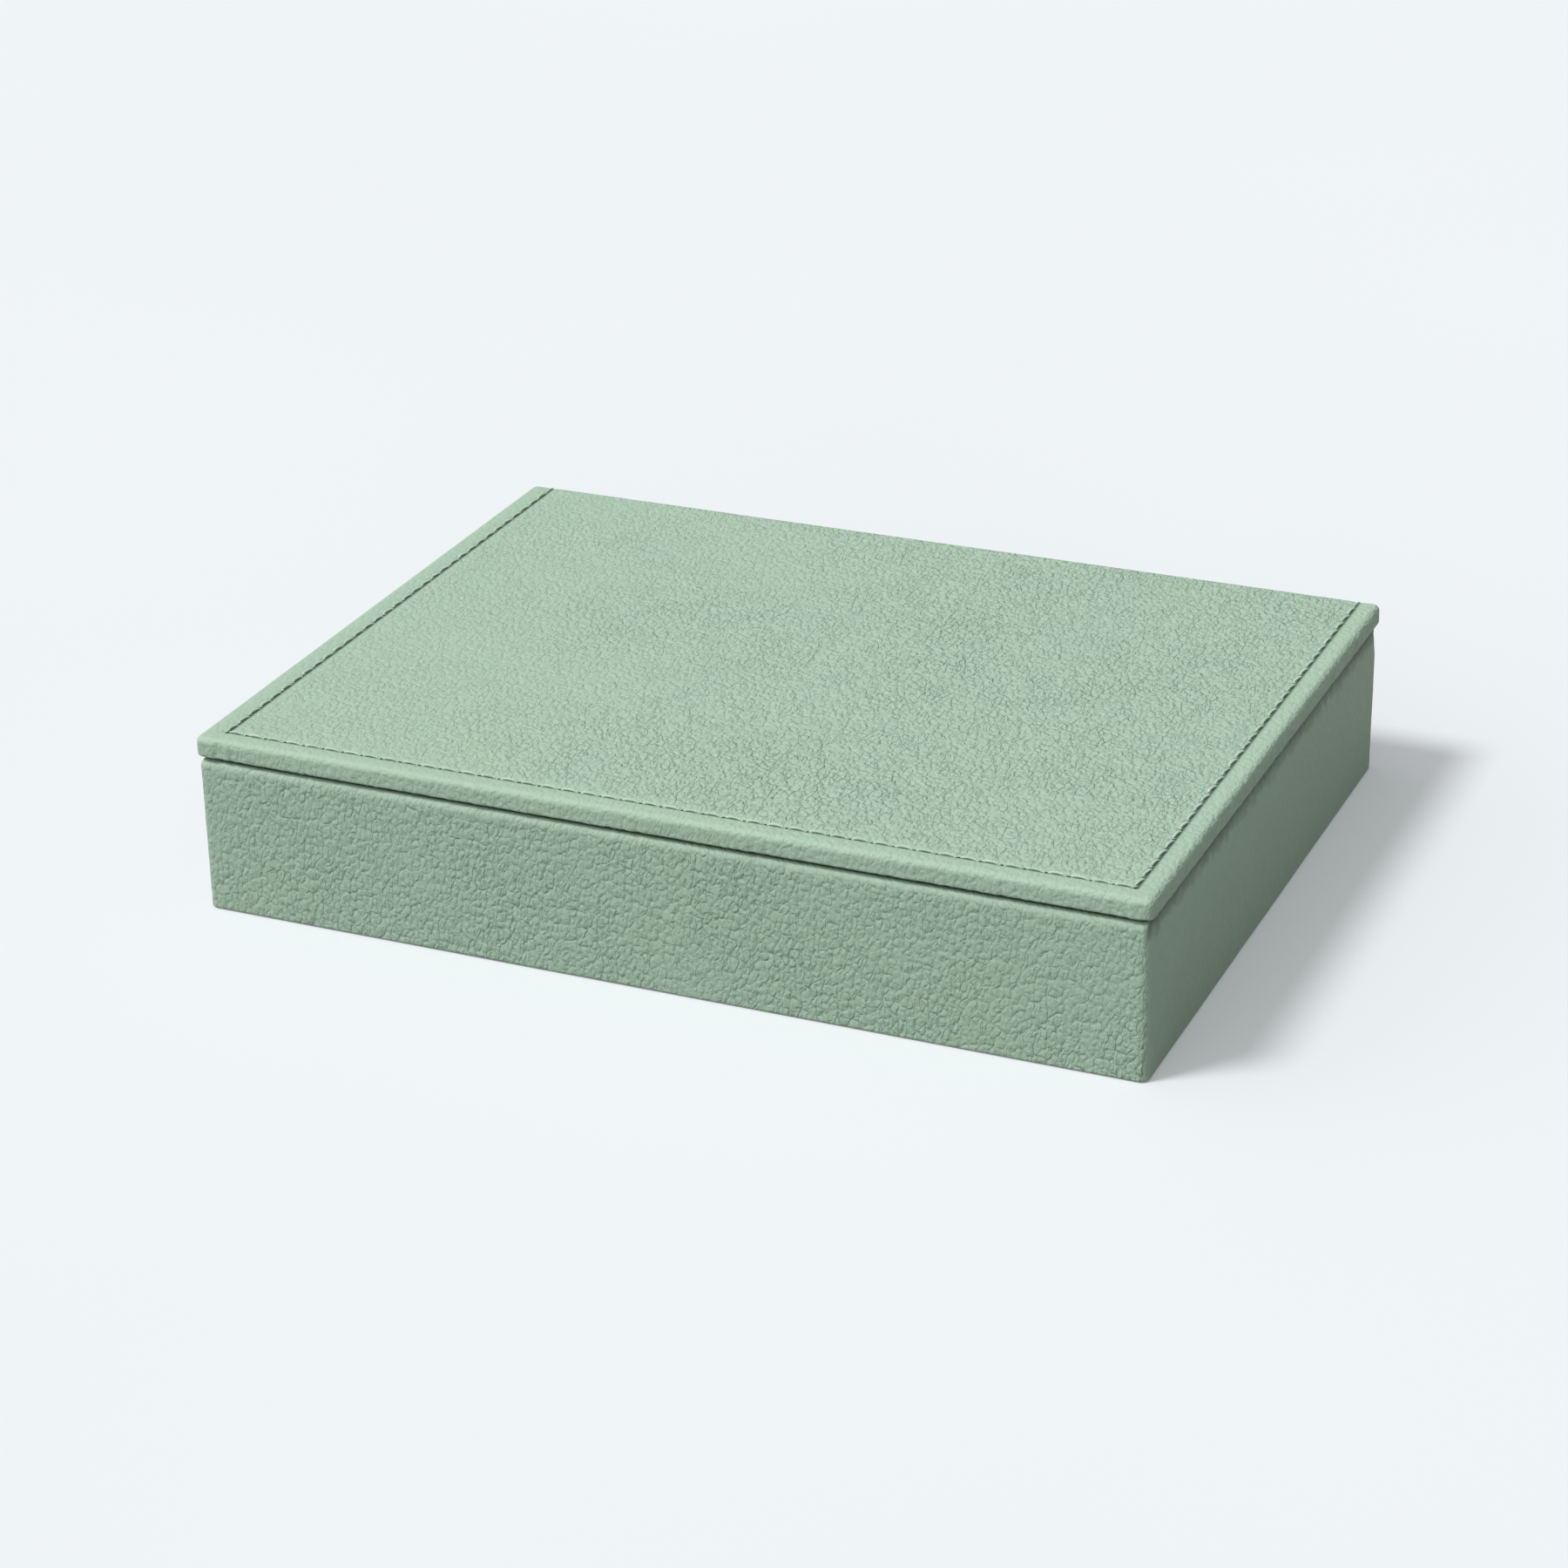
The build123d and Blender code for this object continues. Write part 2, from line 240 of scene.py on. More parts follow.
def valleys(nt, coords, cell, turn, width, keep_scale, keep):
    """Valleys between pebbles: 0 on the pebbles and -1 at the bottom.

    cell is the pebble's size in millimetres. Some valleys fade, so that neighbours run together."""
    cells = mapping(nt, coords, (1 / (cell[0] * MM), 1 / (cell[1] * MM), 1), (0, 0, turn))
    slope = map_range(nt, cell_distance(nt, cells), 0.0, width, -1.0, 0.0)
    kept = map_range(nt, noise_node(nt, coords, keep_scale, 1.0, flat=True), 0.36, 0.60, *keep)
    return math_node(nt, "MULTIPLY", slope, kept), cells


# how closely the drift's waves lie, per metre, and how far they push, in metres
PEBBLE_DRIFT = (380, 0.0013)
PEBBLE_JITTER = (1100, 0.0005)
CREASE_DRIFT = (190, 0.0024)
# small cells and long creases as shares of a pebble
FINE_SHARE = 0.42
CREASE_SHARE = (1.7, 3.4)
# the least and most of each kind of valley that is kept
MAIN_KEPT = (0.10, 1.0)
FINE_KEPT = (0.0, 0.8)
CREASE_KEPT = (0.0, 1.0)


def leather_material(name, cell, relief, turn, width, weights, valley_shade):
    """Pebbled leather. cell is the pebble's size in millimetres, relief its height, width the valleys'
    share of a pebble, and the last argument how much the valleys are darkened with painted shade.

    Of the vertex attributes, grain scales the relief from place to place, one darkens the leather with
    painted shade beside the stitch rows and under the lid's right edge, and one makes some edges paler.
    weights are for the pebbles' domes, their valleys, the fine valleys, the long creases, and two noises."""
    mat, nt, shader = new_material(name)
    co = object_coords(nt)
    flat = unrolled(nt)
    soft = warped(nt, warped(nt, flat, *PEBBLE_DRIFT, flat=True), *PEBBLE_JITTER, flat=True)
    loose = warped(nt, flat, *CREASE_DRIFT, flat=True)
    small_cell = (FINE_SHARE * cell[0], FINE_SHARE * cell[1])
    long_cell = (cell[0] * CREASE_SHARE[0], cell[1] * CREASE_SHARE[1])
    main, cells = valleys(nt, soft, cell, turn, width, 420, MAIN_KEPT)
    fine, _ = valleys(nt, soft, small_cell, turn + 0.7, 0.30, 300, FINE_KEPT)
    crease, _ = valleys(nt, loose, long_cell, turn - 0.2, 0.07, 110, CREASE_KEPT)
    middle = cell_distance(nt, cells, "F1")
    parts = (
        math_node(nt, "MULTIPLY", math_node(nt, "MULTIPLY", middle, middle), -1.0),
        main,
        fine,
        crease,
        noise_node(nt, flat, 640, 1.0, 0.5, flat=True),
        noise_node(nt, flat, 1500, 2.0, 0.6, flat=True),
    )
    height = 0.0
    for part, weight in zip(parts, weights):
        height = math_node(nt, "MULTIPLY_ADD", part, weight, height)
    grain = attribute(nt, "grain")
    put(nt, shader.inputs["Normal"], bump(nt, height, relief * MM, grain))

    mottle = map_range(nt, noise_node(nt, co, 60, 3.0), 0.38, 0.66)
    patch = map_range(nt, noise_node(nt, co, 28, 2.0), 0.42, 0.64)
    colour = mix_colour(nt, math_node(nt, "MULTIPLY", mottle, 0.16), LEATHER_TONE, LEATHER_COOLER)
    colour = mix_colour(nt, math_node(nt, "MULTIPLY", patch, 0.16), colour, LEATHER_WARMER)
    # painted shade: the valleys and creases are darkened in the colour
    depth = math_node(nt, "MULTIPLY_ADD", fine, 0.4, math_node(nt, "ADD", main, crease))
    depth = math_node(nt, "MULTIPLY", math_node(nt, "MAXIMUM", depth, -1.3), grain)
    colour = mix_colour(nt, math_node(nt, "MULTIPLY", depth, -valley_shade), colour, LEATHER_VALLEY_SHADE)
    # painted shade from a point attribute, beside the stitch rows and under the lid's right edge
    colour = mix_colour(nt, attribute(nt, "painted_shade"), colour, LEATHER_PAINTED_SHADE)
    # paler where a point attribute says so, along some edges
    lightening = math_node(nt, "MULTIPLY", attribute(nt, "lightening"), 0.30)
    colour = mix_colour(nt, lightening, colour, LEATHER_LIGHTER)
    put(nt, shader.inputs["Base Color"], colour)
    rough = map_range(nt, noise_node(nt, co, 900, 2.0), 0.3, 0.7, 0.54, 0.68, smooth=False)
    put(nt, shader.inputs["Roughness"], math_node(nt, "MULTIPLY_ADD", main, -0.08, rough))
    shader.inputs["Specular IOR Level"].default_value = 0.34
    shader.inputs["Sheen Weight"].default_value = 0.06
    shader.inputs["Sheen Roughness"].default_value = 0.5
    return mat


def suede_material(name, light, dark, nap_scale=2600):
    """Napped suede: short fibres, brushed patches and a soft sheen."""
    mat, nt, shader = new_material(name)
    co = object_coords(nt)
    nap = noise_node(nt, warped(nt, co, 700, 0.0006), nap_scale, 4.0, 0.7)
    brushed = map_range(nt, noise_node(nt, mapping(nt, co, (1, 1.6, 1)), 38, 3.0), 0.35, 0.65)
    fibre = map_range(nt, nap, 0.35, 0.65)
    mix = math_node(nt, "MULTIPLY_ADD", fibre, 0.35, math_node(nt, "MULTIPLY", brushed, 0.30))
    put(nt, shader.inputs["Base Color"], mix_colour(nt, mix, dark, light))
    put(nt, shader.inputs["Normal"], bump(nt, nap, 0.00022, 0.8))
    put(nt, shader.inputs["Roughness"], map_range(nt, nap, 0.3, 0.7, 0.86, 0.98, smooth=False))
    shader.inputs["Specular IOR Level"].default_value = 0.12
    shader.inputs["Sheen Weight"].default_value = 0.35
    shader.inputs["Sheen Roughness"].default_value = 0.45
    shader.inputs["Sheen Tint"].default_value = srgb(205, 222, 208)
    return mat


def thread_material():
    """Waxed sewing thread, a shade paler than the leather, with its twist in the mesh."""
    mat, nt, shader = new_material("waxed_thread")
    co = object_coords(nt)
    fibres = noise_node(nt, mapping(nt, co, (1, 1, 2)), 6000, 3.0, 0.7)
    tone = map_range(nt, noise_node(nt, co, 260, 2.0), 0.35, 0.65)
    colour = mix_colour(nt, tone, srgb(186, 209, 190), srgb(206, 225, 207))
    colour = mix_colour(nt, map_range(nt, fibres, 0.3, 0.7, 0.20, 0.0), colour, srgb(112, 142, 120))
    put(nt, shader.inputs["Base Color"], colour)
    put(nt, shader.inputs["Normal"], bump(nt, fibres, 0.00006, 0.7))
    shader.inputs["Roughness"].default_value = 0.5
    shader.inputs["Specular IOR Level"].default_value = 0.4
    return mat


def hole_material():
    """The shaded throat of an awl hole."""
    mat, nt, shader = new_material("awl_hole")
    co = object_coords(nt)
    tone = noise_node(nt, co, 3000, 2.0)
    put(nt, shader.inputs["Base Color"], mix_colour(nt, tone, srgb(34, 50, 40), srgb(62, 84, 68)))
    shader.inputs["Roughness"].default_value = 0.9
    shader.inputs["Specular IOR Level"].default_value = 0.1
    return mat


def board_material():
    """Raw fibreboard: fine brown fibres with darker specks."""
    mat, nt, shader = new_material("raw_fibreboard")
    co = object_coords(nt)
    fibre = noise_node(nt, mapping(nt, co, (1, 1, 6)), 1500, 4.0, 0.65)
    speck = map_range(nt, noise_node(nt, co, 3800, 2.0), 0.62, 0.72)
    colour = mix_colour(nt, fibre, srgb(160, 126, 88), srgb(198, 166, 124))
    colour = mix_colour(nt, math_node(nt, "MULTIPLY", speck, 0.5), colour, srgb(104, 76, 48))
    put(nt, shader.inputs["Base Color"], colour)
    put(nt, shader.inputs["Normal"], bump(nt, fibre, 0.0002, 0.6))
    shader.inputs["Roughness"].default_value = 0.85
    return mat


def card_material():
    """Grey-brown bookbinding card with a felted surface."""
    mat, nt, shader = new_material("binding_card")
    co = object_coords(nt)
    felt = noise_node(nt, co, 2200, 4.0, 0.7)
    colour = mix_colour(nt, felt, srgb(150, 142, 124), srgb(186, 178, 158))
    put(nt, shader.inputs["Base Color"], colour)
    put(nt, shader.inputs["Normal"], bump(nt, felt, 0.00012, 0.5))
    shader.inputs["Roughness"].default_value = 0.9
    return mat


SIDE_LEATHER = leather_material(
    "pebbled_leather_sides",
    cell=(1.35, 2.2),
    relief=0.50,
    turn=0.0,
    width=0.42,
    weights=(0.62, 0.30, 0.08, 0.26, 0.40, 0.22),
    valley_shade=0.14,
)
TOP_LEATHER = leather_material(
    "pebbled_leather_lid",
    cell=(1.25, 2.1),
    relief=0.78,
    turn=-0.8,
    width=0.52,
    weights=(0.52, 0.32, 0.07, 0.28, 0.58, 0.14),
    valley_shade=0.08,
)
SUEDE = suede_material("suede_lining", srgb(150, 176, 156), srgb(120, 147, 127))
BASE_SUEDE = suede_material("base_suede", srgb(118, 138, 122), srgb(88, 108, 93))
THREAD = thread_material()
HOLE = hole_material()
BOARD = board_material()
CARD = card_material()


# mesh helpers

WELD = 1e-6


def mesh_object(name, points, faces, material):
    """A mesh piece from points in millimetres, with coincident points welded."""
    mesh = bpy.data.meshes.new(name)
    mesh.from_pydata([tuple(p * MM for p in q) for q in points], [], faces)
    bm = bmesh.new()
    bm.from_mesh(mesh)
    bmesh.ops.remove_doubles(bm, verts=bm.verts, dist=WELD)
    bmesh.ops.dissolve_degenerate(bm, edges=bm.edges, dist=WELD)
    bmesh.ops.recalc_face_normals(bm, faces=bm.faces)
    bm.to_mesh(mesh)
    bm.free()
    mesh.update()
    mesh.polygons.foreach_set("use_smooth", [True] * len(mesh.polygons))
    obj = bpy.data.objects.new(name, mesh)
    bpy.context.scene.collection.objects.link(obj)
    mesh.materials.append(material)
    return obj


def points_of(obj):
    co = np.empty(len(obj.data.vertices) * 3)
    obj.data.vertices.foreach_get("co", co)
    return co.reshape(-1, 3) / MM


def normals_of(obj):
    n = np.empty(len(obj.data.vertices) * 3)
    obj.data.vertex_normals.foreach_get("vector", n)
    return n.reshape(-1, 3)


def displace(obj, heights):
    """Moves each point along its normal by so many millimetres."""
    co = points_of(obj) + normals_of(obj) * np.asarray(heights)[:, None]
    obj.data.vertices.foreach_set("co", (co * MM).ravel())
    obj.data.update()


def paint(obj, name, values):
    """Stores one value a point, which a material reads by name."""
    layer = obj.data.attributes.new(name, "FLOAT", "POINT")
    layer.data.foreach_set("value", np.asarray(values, np.float32))


def smoothstep(x, a, b):
    t = np.clip((np.asarray(x, float) - a) / (b - a), 0, 1)
    return t * t * (3 - 2 * t)


def bell(x, width):
    return np.exp(-((x / width) ** 2))


def field(co, sizes, seed, octaves=1):
    """Soft noise from -1 to 1 at each point, with features of the given sizes in millimetres."""
    s = np.asarray(sizes, float)
    out = np.empty(len(co))
    for i, p in enumerate(co / s + seed):
        if octaves > 1:
            out[i] = noise.fractal(Vector(p), 1.0, 2.0, octaves)
        else:
            out[i] = noise.noise(Vector(p))
    return out


def steps(a, b, size):
    """Evenly spaced values from a to b, about size apart."""
    return np.linspace(a, b, max(2, int(round(abs(b - a) / size)) + 1))


def merged(*runs):
    """Several sorted runs of values as one, with repeats dropped."""
    values = np.sort(np.concatenate(runs))
    keep = np.concatenate(([True], np.diff(values) > 0.02))
    return values[keep]


def refined(lo, hi, size, lines, reach, fine):
    """Values from lo to hi, closer together within reach of each line."""
    values = steps(lo, hi, size)
    for line in lines:
        values = values[np.abs(values - line) > reach + fine / 2]
    extra = [steps(line - reach, line + reach, fine) for line in lines]
    return merged(values, *extra)


class Outline:
    """A rounded rectangle in plan, as rings of matching points at any inset."""

    def __init__(self, lo, hi, corner, xs, ys, corner_steps=6):
        self.lo, self.hi, self.corner = lo, hi, corner
        self.xs, self.ys = xs, ys
        self.arc = np.linspace(0, 90, corner_steps + 1)

    def ring(self, z, side, front=None, back=None):
        """The ring at height z, set in from the sides, front and back."""
        front = side if front is None else front
        back = side if back is None else back
        r = self.corner
        x0, x1 = self.lo[0] + side, self.hi[0] - side
        y0, y1 = self.lo[1] + front, self.hi[1] - back
        rx, rf, rb = max(r - side, 0), max(r - front, 0), max(r - back, 0)
        points = []

        def side_run(values, a, b):
            lo, hi = values[0], values[-1]
            return a + (np.asarray(values[1:-1]) - lo) / (hi - lo) * (b - a)

        def corner(cx, cy, ax, ay, start):
            for angle in np.radians(start + self.arc):
                points.append((cx + ax * math.cos(angle), cy + ay * math.sin(angle), z))

        corner(x0 + rx, y0 + rf, rx, rf, 180)
        points.extend((x, y0, z) for x in side_run(self.xs, x0 + rx, x1 - rx))
        corner(x1 - rx, y0 + rf, rx, rf, 270)
        points.extend((x1, y, z) for y in side_run(self.ys, y0 + rf, y1 - rb))
        corner(x1 - rx, y1 - rb, rx, rb, 0)
        points.extend((x, y1, z) for x in side_run(self.xs[::-1], x1 - rx, x0 + rx))
        corner(x0 + rx, y1 - rb, rx, rb, 90)
        points.extend((x0, y, z) for y in side_run(self.ys[::-1], y1 - rb, y0 + rf))
        return points


def ring_faces(count, rings):
    """Quads between neighbouring closed rings of count points each."""
    faces = []
    for j in range(rings - 1):
        a, b = j * count, (j + 1) * count
        for i in range(count):
            k = (i + 1) % count
            faces.append((a + i, a + k, b + k, b + i))
    return faces


def loft(rings):
    """Points and faces of a skin over closed rings."""
    return [p for ring in rings for p in ring], ring_faces(len(rings[0]), len(rings))


def quarter(count):
    """Angles of a quarter turn, in radians."""
    return np.radians(np.linspace(0, 90, count))


def grid(xs, ys, z, start):
    """A flat grid of quads whose points are numbered from start."""
    points = [(x, y, z) for y in ys for x in xs]
    n = len(xs)
    faces = []
    for j in range(len(ys) - 1):
        a, b = start + j * n, start + (j + 1) * n
        faces += [(a + i, a + i + 1, b + i + 1, b + i) for i in range(n - 1)]
    return points, faces


# the stitch line that both the leather and the thread follow


def edge_path(s):
    """The side row's path as it goes over the back edge: point and outward direction at arc length s
    from the start of the edge rounding, in the YZ plane."""
    turn = LID_EDGE * math.pi / 2
    if s <= 0:
        return (edge_start_y + s, lid_hi[2]), (0.0, 1.0)
    if s < turn:
        a = s / LID_EDGE
        n = (math.sin(a), math.cos(a))
        return (edge_start_y + LID_EDGE * n[0], lid_hi[2] - LID_EDGE + LID_EDGE * n[1]), n
    return (lid_hi[1], lid_hi[2] - LID_EDGE - (s - turn)), (1.0, 0.0)


DIP_LINE = 0.20
DIP_BROAD = 0.10
DIP_HOLE = 0.14


def stitch_dip(co):
    """How far the leather is drawn in along the stitch rows of the lid, in millimetres."""
    x, y, z = co.T
    top = z > lid_lo[2] + LEATHER
    side = np.abs(np.abs(x) - row_x) + np.where(y > front_row_y - 1, 0, 9)
    front = np.abs(y - front_row_y) + np.where(np.abs(x) < row_x + 1, 0, 9)
    near = np.minimum(side, front)
    dip = DIP_LINE * bell(near, 0.55) + DIP_BROAD * bell(near, 2.0)
    along_front = np.abs(((x + row_x) / front_pitch + 0.5) % 1 - 0.5) * front_pitch
    along_side = np.abs(((y - front_row_y) / side_pitch + 0.5) % 1 - 0.5) * side_pitch
    along = np.where(front < side, along_front, along_side)
    dip += DIP_HOLE * bell(near, 0.7) * bell(along, 0.7)
    return np.where(top, dip, 0)


# the lid's leather


POINTS_PER_STITCH = 12
ROW_REACH = 1.2
ROW_FINE = 0.24


def make_lid_skin():
    """The lid's leather: over the top, round the edges and turned under."""
    lo, hi = lid_lo + LID_CORNER, lid_hi - LID_CORNER
    xs = refined(lo[0], hi[0], front_pitch / POINTS_PER_STITCH, (-row_x, row_x), ROW_REACH, ROW_FINE)
    ys = refined(lo[1], hi[1], side_pitch / POINTS_PER_STITCH, (front_row_y,), ROW_REACH, ROW_FINE)
    out = Outline(lid_lo, lid_hi, LID_CORNER, xs, ys)
    top, bottom = lid_hi[2], lid_lo[2]
    rings = [out.ring(top, LID_CORNER)]
    for a in quarter(8):
        rings.append(out.ring(top - LID_EDGE * (1 - math.cos(a)), LID_EDGE * (1 - math.sin(a))))
    for z in steps(top - LID_EDGE, bottom + LID_UNDER, 0.5)[1:]:
        rings.append(out.ring(z, 0))
    for a in quarter(6)[1:]:
        z = bottom + LID_UNDER * (1 - math.sin(a))
        rings.append(out.ring(z, LID_UNDER * (1 - math.cos(a)), back=0))
    for inset in (2.0, 4.0, 7.0, TURN_UNDER):
        rings.append(out.ring(bottom, inset, back=min(inset, LEATHER)))
    rings.append(out.ring(bottom + LEATHER, TURN_UNDER, back=LEATHER))
    points, faces = loft(rings)
    more, more_faces = grid(xs, ys, top, len(points))
    obj = mesh_object("lid_leather_skin", points + more, faces + more_faces, TOP_LEATHER)
    close_holes(obj)
    shape_lid(obj)
    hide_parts("lid_leather")
    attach(obj, "lid")


def close_holes(obj):
    """Fills the open ends of a piece, so that it is closed."""
    bm = bmesh.new()
    bm.from_mesh(obj.data)
    open_edges = [e for e in bm.edges if e.is_boundary]
    if open_edges:
        bmesh.ops.holes_fill(bm, edges=open_edges, sides=0)
    bmesh.ops.recalc_face_normals(bm, faces=bm.faces)
    bm.to_mesh(obj.data)
    bm.free()
    obj.data.polygons.foreach_set("use_smooth", [True] * len(obj.data.polygons))


LID_WRINKLE = 0.17
LID_SWELL = 0.05
LID_PEBBLE = 0.018
EDGE_ROLL = 0.04


def lid_relief(co):
    """Height of the lid's leather over its nominal surface, in millimetres."""
    x, y, z = co.T
    edge_distance = np.minimum(lid_hi[0] - np.abs(x), np.minimum(y - lid_lo[1], lid_hi[1] - y))
    band = smoothstep(lid_hi[2] - z, 0.0, 1.4)
    wrinkles = field(co, (1.5, 1.5, 8.0), 3.1) + 0.5 * field(co, (0.9, 0.9, 5.0), 7.7)
    patchy = 0.5 + 0.8 * smoothstep(field(co, (14, 14, 14), 4.1), -0.3, 0.4)
    height = LID_WRINKLE * band * patchy * wrinkles
    height += LID_SWELL * field(co, (26, 26, 26), 1.3)
    height += LID_PEBBLE * (1 - band) * field(co, (2.6, 2.6, 2.6), 5.9)
    # the strip between the stitches and the edge stands up like a soft roll
    height += EDGE_ROLL * bell(edge_distance - 3.2, 1.7) * (1 - band)
    return height - stitch_dip(co)


def lay_flat(obj):
    """Stores where each point of the lid's and back's leather lies once it is unfolded over the edges."""
    x, y, z = points_of(obj).T
    fall = lid_hi[2] - z
    over_side = smoothstep(np.abs(x), lid_hi[0] - 2.2, lid_hi[0] - 0.6)
    over_end = smoothstep(np.abs(y), lid_hi[1] - 2.2, lid_hi[1] - 0.6)
    paint(obj, "flat_x", (x + np.sign(x) * fall * over_side) * MM)
    paint(obj, "flat_y", (y + np.sign(y) * fall * over_end) * MM)


# painted shade beside the stitch rows: how far aside it lies, and how dark it is on the front and side
# rows
ROW_SHADE_ASIDE = 0.42
FRONT_ROW_SHADE = 0.85
SIDE_ROW_SHADE = 0.92
LID_GRAIN = 0.60
LID_GRAIN_ACROSS = 0.30
LID_GRAIN_PATCHES = 0.14
BORDER_GRAIN = 0.45
LID_EDGE_GRAIN = 0.38


def shape_lid(obj):
    """Displaces the lid's leather and paints its grain, its paler edges and the painted shade beside its
    stitch rows.
    """
    lay_flat(obj)
    co = points_of(obj)
    x, y, z = co.T
    heights = lid_relief(co)
    heights[z < lid_lo[2] + 0.02] *= 0.3
    displace(obj, heights)
    edge_distance = np.minimum(lid_hi[0] - np.abs(x), y - lid_lo[1])
    border = smoothstep(edge_distance, 4.5, 10.0)
    patchy = field(co, (42, 42, 42), 11.0, 2)
    across = smoothstep(x, -115, 40)
    strength = LID_GRAIN + LID_GRAIN_ACROSS * across + LID_GRAIN_PATCHES * patchy
    strength = strength * (BORDER_GRAIN + (1 - BORDER_GRAIN) * border)
    sides = smoothstep(lid_hi[2] - z, 0.4, 2.0)
    strength = strength * (1 - sides) + LID_EDGE_GRAIN * sides
    paint(obj, "grain", np.clip(strength, 0.12, 1.0))
    # paler along the lid's top edges and its lower edge
    crest = smoothstep(z, lid_hi[2] - 1.6, lid_hi[2] - 0.3)
    crest = crest * (1 - smoothstep(edge_distance, 1.2, 3.5))
    low = 1 - smoothstep(z, lid_lo[2] + 0.1, lid_lo[2] + 0.8)
    lightening = np.clip(0.15 * crest + 0.3 * low, 0, 1) * (0.7 + 0.5 * field(co, (5, 5, 5), 2.2))
    paint(obj, "lightening", np.clip(lightening, 0, 1))
    # painted shade in the trough beside each stitch row, where the thread's shadow falls
    on_top = smoothstep(z, lid_hi[2] - 1.0, lid_hi[2] - 0.6)
    front_line = bell(y - front_row_y + ROW_SHADE_ASIDE, 0.44) * (np.abs(x) < row_x + 0.3)
    side_line = bell(np.abs(x - ROW_SHADE_ASIDE) - row_x, 0.52) * (y > front_row_y - 0.3)
    paint(obj, "painted_shade", np.clip(FRONT_ROW_SHADE * front_line + SIDE_ROW_SHADE * side_line, 0, SIDE_ROW_SHADE) * on_top)


# the box's leather


RIM_ROLL = 0.55
SKIN_ROUND = 1.25
FOOT = 0.15
FOOT_ROUND = 0.6
FOOT_WIDTH = 3.2
WALL_SWELL = 0.05
WALL_PEBBLE = 0.05
RIM_WRINKLE = 0.13
UNDER_LID_TUCK = 0.45
UNDER_LID_SHADE = 0.85
RIM_CLEARANCE = 0.04
WALL_GRAIN = 0.9
WALL_GRAIN_PATCHES = 0.3
RIM_SMOOTH = 0.35
RIGHT_SMOOTH = 0.85
LEFT_SMOOTH = 0.4


def make_box_skin():
    """The wrap: under the base, up the walls, over the rim and down inside it."""
    xs = steps(wrap_lo[0] + BOX_CORNER, wrap_hi[0] - BOX_CORNER, 0.45)
    ys = steps(wrap_lo[1] + BOX_CORNER, wrap_hi[1] - BOX_CORNER, 0.6)
    out = Outline(wrap_lo, wrap_hi, BOX_CORNER, xs, ys)
    bottom, top = wrap_lo[2], wrap_hi[2]
    rings = [out.ring(bottom + LEATHER, TURN_UNDER), out.ring(bottom, TURN_UNDER)]
    rings += [out.ring(bottom, FOOT_WIDTH + 0.4), out.ring(FOOT + 0.1, FOOT_WIDTH)]
    for a in quarter(6):
        z = FOOT + FOOT_ROUND * (1 - math.cos(a))
        rings.append(out.ring(z, FOOT_ROUND * (1 - math.sin(a))))
    for z in steps(FOOT + FOOT_ROUND, top - SKIN_ROUND, 0.45)[1:]:
        rings.append(out.ring(z, 0))
    for a in quarter(8)[1:]:
        roll = RIM_ROLL * math.sin(a) ** 2
        z = top - SKIN_ROUND * (1 - math.sin(a)) + roll
        rings.append(out.ring(z, SKIN_ROUND * (1 - math.cos(a))))
    for inset, roll in ((1.9, 0.75), (2.5, 0.3), (3.1, 0.0)):
        rings.append(out.ring(top + RIM_ROLL * roll, inset))
    share = BACK_WALL_STACK / WALL_STACK
    for a in quarter(5):
        inset = WALL_STACK - RIM_INNER * (1 - math.sin(a))
        z = top - RIM_INNER * (1 - math.cos(a))
        rings.append(out.ring(z, inset, back=inset * share))
    for z in steps(top - RIM_INNER, top - RIM_TURN_IN, 1.2)[1:]:
        rings.append(out.ring(z, WALL_STACK, back=WALL_STACK * share))
    wrap = WALL_STACK - LEATHER
    rings.append(out.ring(top - RIM_TURN_IN, wrap, back=wrap * share))
    points, faces = loft(rings)
    obj = mesh_object("box_leather_skin", points, faces, SIDE_LEATHER)
    shape_box(obj)
    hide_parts("box_leather")
    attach(obj, "box")


def shape_box(obj):
    """Displaces the wrap's leather and keeps it clear of the hinge lining."""
    co = points_of(obj)
    x, y, z = co.T
    paint(obj, "flat_x", (x + np.sign(x) * (y - wrap_lo[1])) * MM)
    paint(obj, "flat_y", z * MM)
    outside = (z > FOOT + 0.05) & (z < wrap_hi[2] - 0.2)
    face = smoothstep(z, wrap_lo[2], wrap_lo[2] + 2.5)
    near_rim = smoothstep(z, wrap_hi[2] - 7, wrap_hi[2] - 1)
    height = WALL_SWELL * field(co, (24, 24, 24), 4.4)
    height += WALL_PEBBLE * face * field(co, (1.6, 1.6, 2.8), 8.3)
    height += RIM_WRINKLE * near_rim * field(co, (1.5, 1.5, 5.0), 2.9)
    # the right wall's leather is drawn in under the lid, which leaves a shaded line there
    right_wall = smoothstep(x, wrap_hi[0] - 1.6, wrap_hi[0] - 0.3)
    height -= UNDER_LID_TUCK * right_wall * smoothstep(z, wrap_hi[2] - 7, wrap_hi[2] - 0.6)
    displace(obj, np.where(outside, height, 0.0))
    # the back of the rim stays under the hinge lining
    co = points_of(obj)
    behind = (np.abs(co[:, 0]) < lining_hi[0] + 0.4) & (co[:, 1] > wrap_hi[1] - WALL_STACK)
    rim_limit = wrap_hi[2] - LINING - RIM_CLEARANCE
    co[:, 2] = np.where(behind, np.minimum(co[:, 2], rim_limit), co[:, 2])
    obj.data.vertices.foreach_set("co", (co * MM).ravel())
    obj.data.update()
    paint_box(obj, co, x, z)


